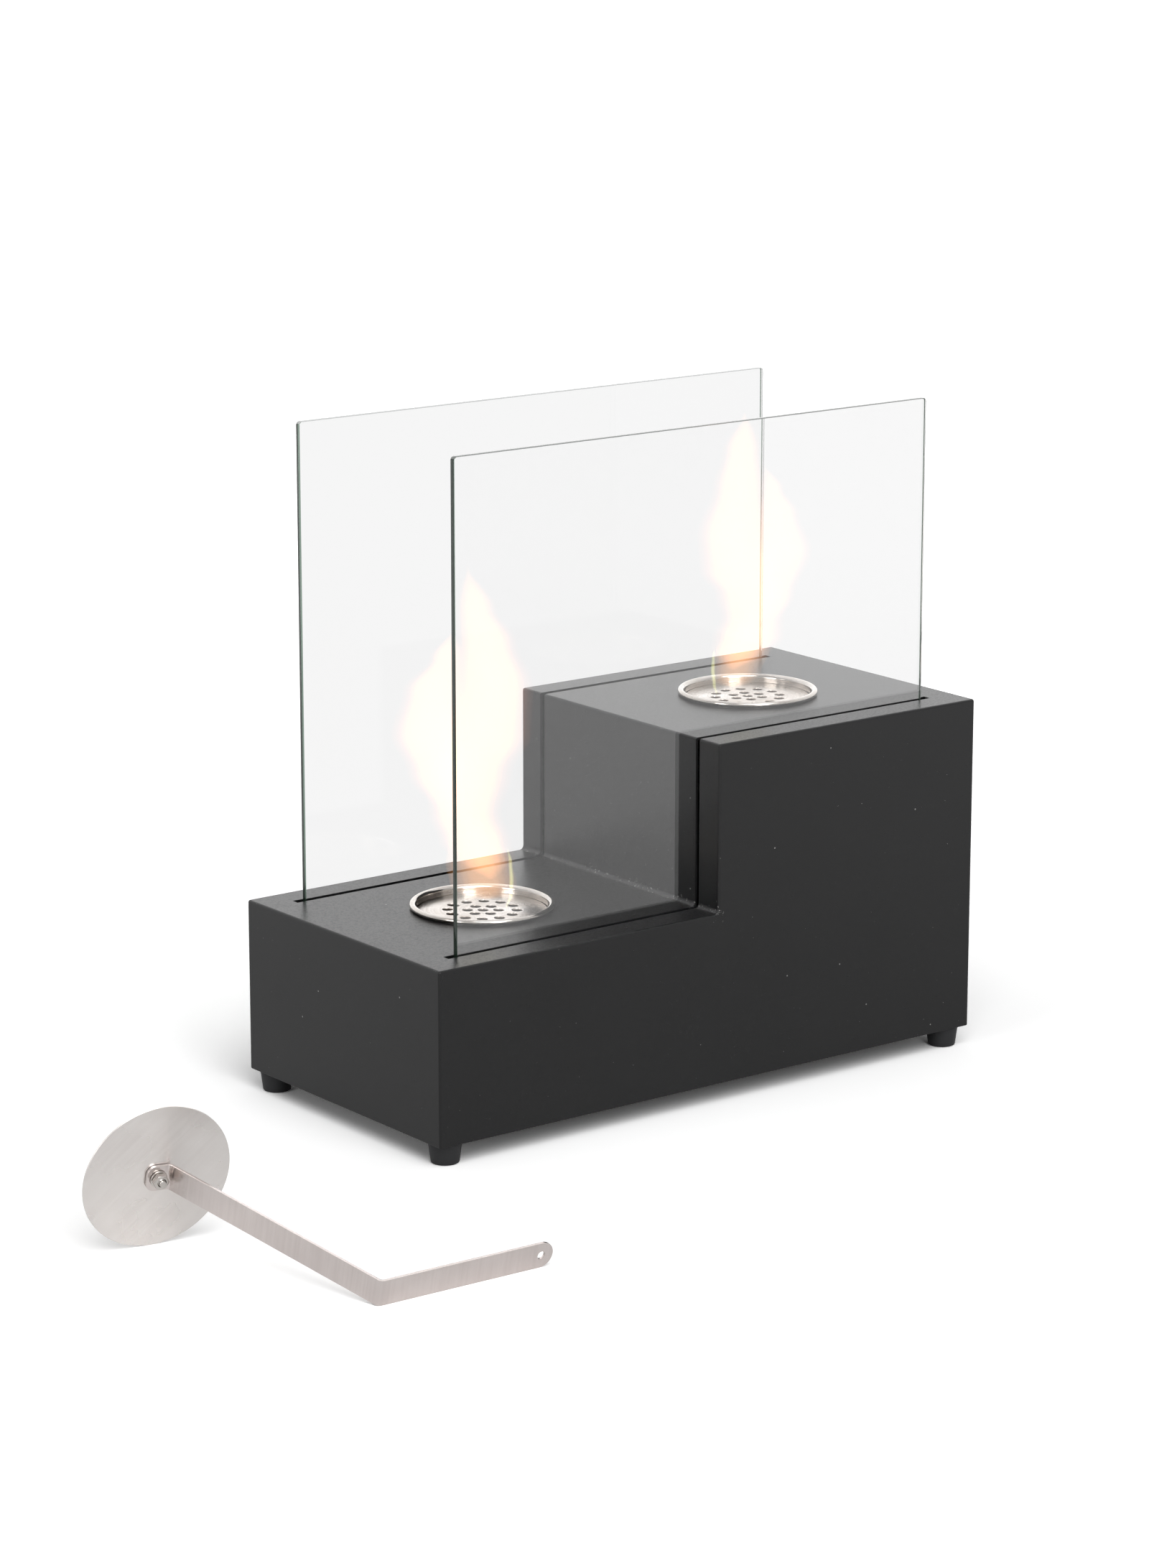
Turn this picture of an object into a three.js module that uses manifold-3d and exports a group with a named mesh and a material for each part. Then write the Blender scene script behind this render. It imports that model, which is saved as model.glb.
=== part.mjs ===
// A stepped tabletop bioethanol fireplace, in millimetres, +Z up.
//
// A folded steel casing with a low and a high step stands on four rubber feet. Two glass panes
// drop through slots in the casing into channels inside it. Each step has a round burner cup with
// a perforated lid, and a snuffer for the flames lies on the floor beside the casing.
//
// The pieces are laid out from the casing's front left corner at floor level: +X runs along the
// front to the high step, +Y to the back. The finished group is then moved so that its origin is
// the middle of the whole set's footprint, on the floor.

import * as THREE from 'three';
import { mergeVertices } from 'three/addons/utils/BufferGeometryUtils.js';
import Module from 'manifold-3d';

const wasm = await Module();
wasm.setup();

// ---------------------------------------------------------------- driving dimensions

// Casing
const CASING_LENGTH = 350;
const CASING_DEPTH = 170;
const LOW_STEP_LENGTH = 176;
const LOW_STEP_HEIGHT = 91;
const HIGH_STEP_HEIGHT = 180;
const SHEET = 1.5;

// Feet, their screws and the brackets that they screw into
const FOOT_HEIGHT = 11;
const FOOT_TOP_RADIUS = 8.6;
const FOOT_BOTTOM_RADIUS = 7.2;
const FOOT_INSET = 10;
const FOOT_POCKET_RADIUS = 4.6;
const FOOT_POCKET_DEPTH = 4.6;
const FOOT_EDGE_CHAMFER = 0.5;
const BRACKET_LEG = 19;
const BRACKET_HEIGHT = 16;
const BRACKET_SHEET = 1.5;

// Fasteners
const SCREW_RADIUS = 2;
const SCREW_HEAD_RADIUS = 3.9;
const SCREW_HEAD_HEIGHT = 2.3;
const SCREW_END = 1.2;
const WASHER_RADIUS = 4.3;
const WASHER_THICKNESS = 0.8;
const NUT_ACROSS_FLATS = 7;
const NUT_HEIGHT = 3;

// Glass panes, the slots they pass and the channels they stand in
const PANE_LENGTH = 304;
const PANE_THICKNESS = 3;
const PANE_CORNER_RADIUS = 2;
const PANE_ARRIS = 0.4;
const PANE_HEIGHT = 270;
const PANE_INSET = 18.5;
const PANE_INSERTION = 20;
const CHANNEL_SHEET = 1.2;
const CHANNEL_HEIGHT = 14;
const PAD_THICKNESS = 1.5;

// Burners
const RIM_RADIUS = 37.25;
const RIM_BEAD_RADIUS = 1.4;
const CUP_SHEET = 0.8;
const CUP_DEPTH = 50;
const CUP_LEDGE = 3.2;
const LID_DEPTH = 4.35;
const LID_THICKNESS = 1;
const LID_HOLE_RADIUS = 2.5;
const LID_INNER_RING_RADIUS = 8;
const LID_OUTER_RING_RADIUS = 17.5;
const LOW_LID_TURN = 22.6;
const HIGH_LID_TURN = 3;
const WOOL_HEADROOM = 4;

// Snuffer
const STRAP_WIDTH = 13.2;
const STRAP_THICKNESS = 1.5;
const STRAP_BEND_RADIUS = 1.5;
const TAB_LENGTH = 6;
const TAB_CORNER_RADIUS = 4.5;
const SHAFT_LENGTH = 131.5;
const HANDLE_LENGTH = 95.5;
const HANDLE_BEND = 106.2;
const TAB_BEND = 67.1;
const HANG_HOLE_RADIUS = 2;
const DISC_THICKNESS = 1;
const SNUFFER_LEFT = 134.6;
const SNUFFER_FRONT = 138.6;
const SNUFFER_YAW = -1.8;

// Clearances
const SEAT_GAP = 0.3;
const PLATE_GAP = 0.4;
const CUP_HOLE_CLEARANCE = 0.5;
const LID_CLEARANCE = 0.4;
const WOOL_CLEARANCE = 0.5;
const SLOT_SIDE_CLEARANCE = 0.5;
const SLOT_END_CLEARANCE = 5.5;
const SCREW_CLEARANCE = 0.35;

// Steps round each turned shape
const CUP_SEGMENTS = 48;
const DISC_SEGMENTS = 96;
const LID_HOLE_SEGMENTS = 14;
const FOOT_SEGMENTS = 28;
const SMALL_SEGMENTS = 18;
const ARC_STEPS = 5;

// ---------------------------------------------------------------- shared places

const UNDERSIDE = FOOT_HEIGHT;
const LOW_TOP = UNDERSIDE + LOW_STEP_HEIGHT;
const HIGH_TOP = UNDERSIDE + HIGH_STEP_HEIGHT;
const PANE_BOTTOM = LOW_TOP - PANE_INSERTION;
const PANE_LEFT = (CASING_LENGTH - PANE_LENGTH) / 2;
const PANE_RIGHT = PANE_LEFT + PANE_LENGTH;
const PANE_TOP = PANE_BOTTOM + PANE_HEIGHT;
const PANE_PLACES = {
  front: PANE_INSET,
  back: CASING_DEPTH - PANE_INSET,
};
const CUP_RADIUS = RIM_RADIUS - 2 * RIM_BEAD_RADIUS;
const DISC_RADIUS = RIM_RADIUS;
const BURNER_PLACES = {
  low: { x: LOW_STEP_LENGTH / 2, y: CASING_DEPTH / 2, top: LOW_TOP, lidTurn: LOW_LID_TURN },
  high: {
    x: (LOW_STEP_LENGTH + CASING_LENGTH) / 2,
    y: CASING_DEPTH / 2,
    top: HIGH_TOP,
    lidTurn: HIGH_LID_TURN,
  },
};
const LID_RINGS = [
  { count: 1, radius: 0 },
  { count: 6, radius: LID_INNER_RING_RADIUS },
  { count: 12, radius: LID_OUTER_RING_RADIUS },
];
const CORNERS = {
  front_left: { x: FOOT_INSET, y: FOOT_INSET, side: 1 },
  front_right: { x: CASING_LENGTH - FOOT_INSET, y: FOOT_INSET, side: -1 },
  back_left: { x: FOOT_INSET, y: CASING_DEPTH - FOOT_INSET, side: 1 },
  back_right: { x: CASING_LENGTH - FOOT_INSET, y: CASING_DEPTH - FOOT_INSET, side: -1 },
};

// ---------------------------------------------------------------- finishes

const finish = (color, roughness, metalness, more = {}) => (
  new THREE.MeshStandardMaterial({ color, roughness, metalness, ...more })
);
const blackPowderCoat = finish(0x353536, 0.55, 0.2);
const blackRubber = finish(0x141414, 0.8, 0);
const clearGlass = finish(0xdfe9e2, 0.05, 0, { transparent: true, opacity: 0.3 });
const polishedSteel = finish(0xc9c5c0, 0.18, 1);
const brushedSteel = finish(0xc4c0bb, 0.35, 1);
const zincPlate = finish(0xa9abad, 0.4, 1);
const ceramicWool = finish(0xe9e4d8, 0.95, 0);
const heatproofRubber = finish(0x2a2a2c, 0.85, 0);

// ---------------------------------------------------------------- solids

/** Gives a geometry with shared vertices and no collapsed triangles, as a closed solid. */
function toSolid(geometry) {
  const bare = geometry.clone();
  bare.deleteAttribute('normal');
  bare.deleteAttribute('uv');
  const merged = mergeVertices(bare);
  const index = Array.from(merged.index.array);
  const kept = [];
  for (let i = 0; i < index.length; i += 3) {
    const [a, b, c] = index.slice(i, i + 3);
    if (a !== b && b !== c && c !== a) {
      kept.push(a, b, c);
    }
  }
  return new wasm.Manifold(new wasm.Mesh({
    numProp: 3,
    vertProperties: new Float32Array(merged.attributes.position.array),
    triVerts: new Uint32Array(kept),
  }));
}

/** Turns a closed solid back into a geometry. */
function toGeometry(solid) {
  const { vertProperties, triVerts } = solid.getMesh();
  const geometry = new THREE.BufferGeometry();
  geometry.setAttribute('position', new THREE.BufferAttribute(vertProperties, 3));
  geometry.setIndex(new THREE.BufferAttribute(triVerts, 1));
  geometry.computeVertexNormals();
  return geometry;
}

/** A box between two corners. */
function box([x0, y0, z0], [x1, y1, z1]) {
  const geometry = new THREE.BoxGeometry(x1 - x0, y1 - y0, z1 - z0);
  return toSolid(geometry.translate((x0 + x1) / 2, (y0 + y1) / 2, (z0 + z1) / 2));
}

/** An upright cylinder from z0 to z1. */
function cylinder(radius, z0, z1, segments, x = 0, y = 0) {
  const geometry = new THREE.CylinderGeometry(radius, radius, z1 - z0, segments);
  return toSolid(geometry.rotateX(Math.PI / 2).translate(x, y, (z0 + z1) / 2));
}

/** A solid turned about the Z axis from [radius, height] points that run anticlockwise. */
function turned(profile, segments) {
  const points = profile.map(([radius, height]) => new THREE.Vector2(radius, height));
  return toSolid(new THREE.LatheGeometry(points, segments).rotateX(Math.PI / 2));
}

/** A solid that stands on an outline in the XZ plane and runs from y0 to y1. */
function alongY(outline, y0, y1) {
  const shape = new THREE.Shape(outline.map(([x, z]) => new THREE.Vector2(x, z)));
  const geometry = new THREE.ExtrudeGeometry(shape, { depth: y1 - y0, bevelEnabled: false });
  return toSolid(geometry.rotateX(Math.PI / 2).translate(0, y1, 0));
}

/** Points on an arc of a profile, from one angle to another in degrees. */
function arc([cx, cz], radius, from, to, steps = ARC_STEPS) {
  return Array.from({ length: steps + 1 }, (_, i) => {
    const angle = THREE.MathUtils.degToRad(from + (to - from) * i / steps);
    return [cx + radius * Math.cos(angle), cz + radius * Math.sin(angle)];
  });
}

/** A named piece. */
function piece(name, solid, material) {
  const mesh = new THREE.Mesh(toGeometry(solid), material.clone());
  mesh.name = name;
  return mesh;
}

// ---------------------------------------------------------------- casing

/** The stepped outline of the casing, drawn in by a wall and lengthened downwards. */
function casingOutline(wall, below) {
  return [
    [wall, UNDERSIDE - below],
    [CASING_LENGTH - wall, UNDERSIDE - below],
    [CASING_LENGTH - wall, HIGH_TOP - wall],
    [LOW_STEP_LENGTH + wall, HIGH_TOP - wall],
    [LOW_STEP_LENGTH + wall, LOW_TOP - wall],
    [wall, LOW_TOP - wall],
  ];
}

/** The folded and welded casing, open underneath, with its two slots and two burner holes. */
function casingShell() {
  let shell = alongY(casingOutline(0, 0), 0, CASING_DEPTH)
    .subtract(alongY(casingOutline(SHEET, SHEET), SHEET, CASING_DEPTH - SHEET));
  const halfSlot = PANE_THICKNESS / 2 + SLOT_SIDE_CLEARANCE;
  for (const y of Object.values(PANE_PLACES)) {
    shell = shell.subtract(box(
      [PANE_LEFT - SLOT_END_CLEARANCE, y - halfSlot, LOW_TOP - 2 * SHEET],
      [PANE_RIGHT + SLOT_END_CLEARANCE, y + halfSlot, HIGH_TOP + SHEET],
    ));
  }
  for (const { x, y, top } of Object.values(BURNER_PLACES)) {
    const hole = CUP_RADIUS + CUP_HOLE_CLEARANCE;
    shell = shell.subtract(cylinder(hole, top - 2 * SHEET, top + SHEET, CUP_SEGMENTS, x, y));
  }
  return piece('casing_shell', shell, blackPowderCoat);
}

/** The plate that closes the casing underneath, with a hole for each foot's screw. */
function bottomPlate() {
  const edge = SHEET + PLATE_GAP;
  let plate = box(
    [edge, edge, UNDERSIDE],
    [CASING_LENGTH - edge, CASING_DEPTH - edge, UNDERSIDE + SHEET],
  );
  for (const { x, y } of Object.values(CORNERS)) {
    plate = plate.subtract(screwHole(x, y, UNDERSIDE - SHEET, UNDERSIDE + 2 * SHEET));
  }
  return piece('bottom_plate', plate, blackPowderCoat);
}

/** A hole that a screw passes with its clearance. */
function screwHole(x, y, z0, z1) {
  return cylinder(SCREW_RADIUS + SCREW_CLEARANCE, z0, z1, SMALL_SEGMENTS, x, y);
}

// ---------------------------------------------------------------- feet

const BRACKET_FLOOR = UNDERSIDE + SHEET + SEAT_GAP;
const BRACKET_TOP = BRACKET_FLOOR + BRACKET_SHEET;

/** An angle bracket welded to an end wall: its foot leg lies on the bottom plate. */
function cornerBracket(name, { x, y, side }) {
  const wall = side > 0 ? SHEET + SEAT_GAP : CASING_LENGTH - SHEET - SEAT_GAP;
  const span = (reach) => [wall, wall + side * reach].sort((a, b) => a - b);
  const [legStart, legEnd] = span(BRACKET_LEG);
  const [backStart, backEnd] = span(BRACKET_SHEET);
  const depth = Math.min(FOOT_INSET - SHEET - SEAT_GAP, BRACKET_LEG / 2);
  const bracket = box([legStart, y - depth, BRACKET_FLOOR], [legEnd, y + depth, BRACKET_TOP])
    .add(box([backStart, y - depth, BRACKET_FLOOR], [backEnd, y + depth, BRACKET_FLOOR + BRACKET_HEIGHT]))
    .subtract(screwHole(x, y, BRACKET_FLOOR - SHEET, BRACKET_TOP + SHEET));
  return piece(`corner_bracket_${name}`, bracket, zincPlate);
}

/** A tapered rubber foot with a pocket underneath for its screw and washer. */
function rubberFoot(name, { x, y }) {
  const top = FOOT_HEIGHT - SEAT_GAP;
  const hole = SCREW_RADIUS + SCREW_CLEARANCE;
  const foot = turned([
    [hole, FOOT_POCKET_DEPTH],
    [FOOT_POCKET_RADIUS, FOOT_POCKET_DEPTH],
    [FOOT_POCKET_RADIUS, 0],
    [FOOT_BOTTOM_RADIUS - FOOT_EDGE_CHAMFER, 0],
    [FOOT_BOTTOM_RADIUS, FOOT_EDGE_CHAMFER],
    [FOOT_TOP_RADIUS, top - FOOT_EDGE_CHAMFER],
    [FOOT_TOP_RADIUS - FOOT_EDGE_CHAMFER, top],
    [hole, top],
    [hole, FOOT_POCKET_DEPTH],
  ], FOOT_SEGMENTS);
  return piece(`rubber_foot_${name}`, foot.translate([x, y, 0]), blackRubber);
}

/** A pan-head screw, standing on its head from z = 0, with the given length under the head. */
function panScrew(length) {
  return turned([
    [0, 0],
    [SCREW_HEAD_RADIUS * 0.6, 0],
    [SCREW_HEAD_RADIUS * 0.9, SCREW_HEAD_HEIGHT * 0.3],
    [SCREW_HEAD_RADIUS, SCREW_HEAD_HEIGHT * 0.65],
    [SCREW_HEAD_RADIUS, SCREW_HEAD_HEIGHT],
    [SCREW_RADIUS, SCREW_HEAD_HEIGHT],
    [SCREW_RADIUS, SCREW_HEAD_HEIGHT + length - SCREW_RADIUS / 4],
    [SCREW_RADIUS * 0.75, SCREW_HEAD_HEIGHT + length],
    [0, SCREW_HEAD_HEIGHT + length],
  ], SMALL_SEGMENTS);
}

/** A flat washer from z = 0. */
function washer() {
  return cylinder(WASHER_RADIUS, 0, WASHER_THICKNESS, SMALL_SEGMENTS)
    .subtract(screwHole(0, 0, -WASHER_THICKNESS, 2 * WASHER_THICKNESS));
}

/** A hexagon nut from z = 0. */
function hexNut() {
  const corner = NUT_ACROSS_FLATS / 2 / Math.cos(Math.PI / 6);
  return cylinder(corner, 0, NUT_HEIGHT, 6)
    .subtract(screwHole(0, 0, -NUT_HEIGHT, 2 * NUT_HEIGHT));
}

/** One foot's screw, washer and nut, stacked through the foot, the plate and the bracket. */
function footFasteners(name, { x, y }) {
  const washerFloor = FOOT_POCKET_DEPTH - SEAT_GAP - WASHER_THICKNESS;
  const headTop = washerFloor - SEAT_GAP;
  const nutFloor = BRACKET_TOP + SEAT_GAP;
  const length = nutFloor + NUT_HEIGHT + SCREW_END - headTop;
  const screw = panScrew(length).translate([x, y, headTop - SCREW_HEAD_HEIGHT]);
  return [
    piece(`foot_screw_${name}`, screw, zincPlate),
    piece(`foot_washer_${name}`, washer().translate([x, y, washerFloor]), zincPlate),
    piece(`foot_nut_${name}`, hexNut().translate([x, y, nutFloor]), zincPlate),
  ];
}

// ---------------------------------------------------------------- glass

/** A pane with rounded corners and ground edges, standing across the casing. */
function pane(name, y) {
  const shape = new THREE.Shape();
  const left = PANE_LEFT + PANE_ARRIS;
  const right = PANE_RIGHT - PANE_ARRIS;
  const bottom = PANE_BOTTOM + PANE_ARRIS;
  const top = PANE_TOP - PANE_ARRIS;
  const radius = PANE_CORNER_RADIUS;
  shape.moveTo(left + radius, bottom);
  shape.lineTo(right - radius, bottom);
  shape.absarc(right - radius, bottom + radius, radius, -Math.PI / 2, 0);
  shape.absarc(right - radius, top - radius, radius, 0, Math.PI / 2);
  shape.absarc(left + radius, top - radius, radius, Math.PI / 2, Math.PI);
  shape.absarc(left + radius, bottom + radius, radius, Math.PI, 1.5 * Math.PI);
  const geometry = new THREE.ExtrudeGeometry(shape, {
    depth: PANE_THICKNESS - 2 * PANE_ARRIS,
    curveSegments: ARC_STEPS,
    bevelSize: PANE_ARRIS,
    bevelThickness: PANE_ARRIS,
    bevelSegments: 1,
  });
  geometry.rotateX(Math.PI / 2);
  geometry.translate(0, y + PANE_THICKNESS / 2 - PANE_ARRIS, 0);
  return piece(`${name}_glass`, toSolid(geometry), clearGlass);
}

/** The channel inside the casing that carries a pane, welded to both end walls. */
function glassChannel(name, y) {
  const end = SHEET + SEAT_GAP;
  const inside = PANE_THICKNESS / 2 + SLOT_SIDE_CLEARANCE;
  const floor = PANE_BOTTOM - SEAT_GAP - PAD_THICKNESS - SEAT_GAP;
  const outside = inside + CHANNEL_SHEET;
  const channel = box(
    [end, y - outside, floor - CHANNEL_SHEET],
    [CASING_LENGTH - end, y + outside, floor - CHANNEL_SHEET + CHANNEL_HEIGHT],
  ).subtract(box(
    [0, y - inside, floor],
    [CASING_LENGTH, y + inside, floor + CHANNEL_HEIGHT],
  ));
  return piece(`glass_channel_${name}`, channel, zincPlate);
}

/** The soft strip in a channel on which the pane stands. */
function glassPad(name, y) {
  const halfWidth = PANE_THICKNESS / 2 + SLOT_SIDE_CLEARANCE - SEAT_GAP;
  const bottom = PANE_BOTTOM - SEAT_GAP - PAD_THICKNESS;
  const strip = box(
    [PANE_LEFT, y - halfWidth, bottom],
    [PANE_RIGHT, y + halfWidth, bottom + PAD_THICKNESS],
  );
  return piece(`glass_pad_${name}`, strip, heatproofRubber);
}

// ---------------------------------------------------------------- burners

const BEAD_CENTRE = SEAT_GAP + RIM_BEAD_RADIUS;
const RIM_CREST = BEAD_CENTRE + RIM_BEAD_RADIUS;
const CUP_BORE = CUP_RADIUS - CUP_SHEET;
const LEDGE_BORE = CUP_BORE - CUP_LEDGE;
const LEDGE_LEVEL = RIM_CREST - LID_DEPTH - LID_THICKNESS - SEAT_GAP;

/** The burner cup: a rolled rim, a shallow upper bore, a ledge for the lid, and a deeper well. */
function burnerCup(name, { x, y, top }) {
  const bead = [RIM_RADIUS - RIM_BEAD_RADIUS, BEAD_CENTRE];
  const lip = bead[0] - CUP_BORE;
  const wellRadius = LEDGE_BORE + CUP_SHEET;
  const cup = turned([
    [0, -CUP_DEPTH],
    [wellRadius, -CUP_DEPTH],
    [wellRadius, LEDGE_LEVEL - CUP_SHEET],
    [CUP_RADIUS, LEDGE_LEVEL - CUP_SHEET],
    ...arc(bead, RIM_BEAD_RADIUS, 190, 450, 2 * ARC_STEPS),
    ...arc([bead[0], RIM_CREST - lip], lip, 90, 180).slice(1),
    [CUP_BORE, LEDGE_LEVEL],
    [LEDGE_BORE, LEDGE_LEVEL],
    [LEDGE_BORE, CUP_SHEET - CUP_DEPTH],
    [0, CUP_SHEET - CUP_DEPTH],
  ], CUP_SEGMENTS);
  return piece(`${name}_burner_cup`, cup.translate([x, y, top]), polishedSteel);
}

/** The perforated lid that lies on the cup's ledge, turned as it was put in. */
function burnerLid(name, { x, y, top, lidTurn }) {
  const level = LEDGE_LEVEL + SEAT_GAP;
  let lid = cylinder(CUP_BORE - LID_CLEARANCE, level, level + LID_THICKNESS, CUP_SEGMENTS);
  for (const { count, radius } of LID_RINGS) {
    for (let i = 0; i < count; i += 1) {
      const angle = 2 * Math.PI * i / count;
      lid = lid.subtract(cylinder(
        LID_HOLE_RADIUS,
        level - LID_THICKNESS,
        level + 2 * LID_THICKNESS,
        LID_HOLE_SEGMENTS,
        radius * Math.cos(angle),
        radius * Math.sin(angle),
      ));
    }
  }
  const placed = lid.rotate([0, 0, lidTurn]).translate([x, y, top]);
  return piece(`${name}_burner_lid`, placed, brushedSteel);
}

/** The ceramic wool in the cup's well, which soaks up the fuel. */
function burnerWool(name, { x, y, top }) {
  const wool = cylinder(
    LEDGE_BORE - WOOL_CLEARANCE,
    top - CUP_DEPTH + CUP_SHEET + SEAT_GAP,
    top + LEDGE_LEVEL - WOOL_HEADROOM,
    CUP_SEGMENTS / 2,
    x,
    y,
  );
  return piece(`${name}_burner_wool`, wool, ceramicWool);
}

// ---------------------------------------------------------------- snuffer

/** A unit vector in the plane in which the strap is bent. */
function heading(degrees) {
  const angle = THREE.MathUtils.degToRad(degrees);
  return new THREE.Vector2(Math.cos(angle), Math.sin(angle));
}

/**
 * The places of the bent strap, in its own frame: the handle's bend is the origin, the handle
 * runs along +X, Z is across the strap and z = 0 is its lower edge.
 */
function strapPlaces() {
  const shaft = heading(HANDLE_BEND);
  const tab = heading(HANDLE_BEND + TAB_BEND);
  const tabBend = shaft.clone().multiplyScalar(SHAFT_LENGTH);
  const boltPlace = tabBend.clone().addScaledVector(tab, TAB_LENGTH);
  return {
    handleEnd: new THREE.Vector2(HANDLE_LENGTH, 0),
    handleBend: new THREE.Vector2(0, 0),
    tabBend,
    boltPlace,
    tabEnd: boltPlace.clone().addScaledVector(tab, TAB_LENGTH),
    tab,
    // Away from the disc, on the side where the shaft leaves the tab.
    outward: new THREE.Vector2(-tab.y, tab.x),
  };
}

/** The outline of a strip bent at each inner corner of a line. */
function bentOutline(corners) {
  const radius = STRAP_BEND_RADIUS + STRAP_THICKNESS / 2;
  const left = [];
  const right = [];
  const addPoint = (point, direction) => {
    const across = new THREE.Vector2(-direction.y, direction.x);
    left.push(point.clone().addScaledVector(across, STRAP_THICKNESS / 2));
    right.unshift(point.clone().addScaledVector(across, -STRAP_THICKNESS / 2));
  };
  corners.forEach((corner, i) => {
    const before = i > 0 && corner.clone().sub(corners[i - 1]).normalize();
    const after = i < corners.length - 1 && corners[i + 1].clone().sub(corner).normalize();
    if (!before || !after) {
      addPoint(corner, before || after);
      return;
    }
    const turn = Math.atan2(before.cross(after), before.dot(after));
    const side = Math.sign(turn);
    const reach = radius * Math.tan(Math.abs(turn) / 2);
    const start = corner.clone().addScaledVector(before, -reach);
    const centre = start.clone().add(new THREE.Vector2(-before.y, before.x).multiplyScalar(side * radius));
    for (let step = 0; step <= ARC_STEPS; step += 1) {
      const angle = turn * step / ARC_STEPS;
      addPoint(start.clone().rotateAround(centre, angle), before.clone().rotateAround(new THREE.Vector2(), angle));
    }
  });
  return new THREE.Shape([...left, ...right]);
}

/** What is cut off a strap's end to round its corners: the end lies at x = 0 and faces +X. */
function endCorners(radius) {
  const thick = 4 * STRAP_THICKNESS;
  let corners = box([-radius, -thick, -radius], [radius, thick, STRAP_WIDTH + radius])
    .subtract(box([-2 * radius, -2 * thick, radius], [0, 2 * thick, STRAP_WIDTH - radius]));
  for (const z of [radius, STRAP_WIDTH - radius]) {
    const round = new THREE.CylinderGeometry(radius, radius, 4 * thick, 2 * SMALL_SEGMENTS);
    corners = corners.subtract(toSolid(round.translate(-radius, 0, z)));
  }
  return corners;
}

/** A round hole through the strap, square to a stretch with the given heading. */
function strapHole(radius, place, degrees) {
  const geometry = new THREE.CylinderGeometry(radius, radius, 4 * STRAP_THICKNESS, SMALL_SEGMENTS);
  geometry.rotateZ(THREE.MathUtils.degToRad(degrees));
  return toSolid(geometry.translate(place.x, place.y, STRAP_WIDTH / 2));
}

/** The strap: a tab on the disc, a long shaft, and a handle with a hole to hang it by. */
function snufferHandle() {
  const { handleEnd, handleBend, tabBend, boltPlace, tabEnd } = strapPlaces();
  const outline = bentOutline([handleEnd, handleBend, tabBend, tabEnd]);
  const strip = new THREE.ExtrudeGeometry(outline, { depth: STRAP_WIDTH, bevelEnabled: false });
  const tabHeading = HANDLE_BEND + TAB_BEND;
  const hangPlace = handleEnd.clone().sub(new THREE.Vector2(STRAP_WIDTH / 2, 0));
  const strap = toSolid(strip)
    .subtract(endCorners(STRAP_WIDTH / 2).translate([handleEnd.x, 0, 0]))
    .subtract(endCorners(TAB_CORNER_RADIUS).rotate([0, 0, tabHeading]).translate([tabEnd.x, tabEnd.y, 0]))
    .subtract(strapHole(HANG_HOLE_RADIUS, hangPlace, 0))
    .subtract(strapHole(SCREW_RADIUS + SCREW_CLEARANCE, boltPlace, tabHeading));
  return piece('snuffer_handle', strap, brushedSteel);
}

/** The disc and its fasteners, stacked along +Z from the tab's middle plane. */
function snufferStack() {
  const discNear = -STRAP_THICKNESS / 2 - SEAT_GAP;
  const discFar = discNear - DISC_THICKNESS;
  const headTop = discFar - SEAT_GAP;
  const washerFloor = STRAP_THICKNESS / 2 + SEAT_GAP;
  const nutFloor = washerFloor + WASHER_THICKNESS + SEAT_GAP;
  const length = nutFloor + NUT_HEIGHT + SCREW_END - headTop;
  const disc = cylinder(DISC_RADIUS, discFar, discNear, DISC_SEGMENTS)
    .subtract(screwHole(0, 0, 2 * discFar, 0));
  return [
    piece('snuffer_disc', disc, brushedSteel),
    piece('snuffer_screw', panScrew(length).translate([0, 0, headTop - SCREW_HEAD_HEIGHT]), zincPlate),
    piece('snuffer_washer', washer().translate([0, 0, washerFloor]), zincPlate),
    piece('snuffer_nut', hexNut().translate([0, 0, nutFloor]), zincPlate),
  ];
}

/** How far the handle's lower outer edge reaches below the strap's frame at a tilt. */
function handleDrop(tilt) {
  return STRAP_THICKNESS / 2 * Math.sin(tilt);
}

/** How far the disc's rim stays above the strap's frame at a tilt. */
function discRise(tilt) {
  const { boltPlace, outward, tab } = strapPlaces();
  const near = STRAP_THICKNESS / 2 + SEAT_GAP;
  return Math.min(...[near, near + DISC_THICKNESS].map((behind) => {
    const alongFloor = boltPlace.y - behind * outward.y;
    const centre = alongFloor * Math.sin(tilt) + STRAP_WIDTH / 2 * Math.cos(tilt);
    return centre - DISC_RADIUS * Math.hypot(tab.y * Math.sin(tilt), Math.cos(tilt));
  }));
}

/** The tilt at which the handle's edge and the disc's rim both touch the floor. */
function restingTilt() {
  let low = 0;
  let high = Math.PI / 2;
  for (let i = 0; i < 40; i += 1) {
    const tilt = (low + high) / 2;
    if (discRise(tilt) + handleDrop(tilt) < 0) {
      low = tilt;
    } else {
      high = tilt;
    }
  }
  return high;
}

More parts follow.
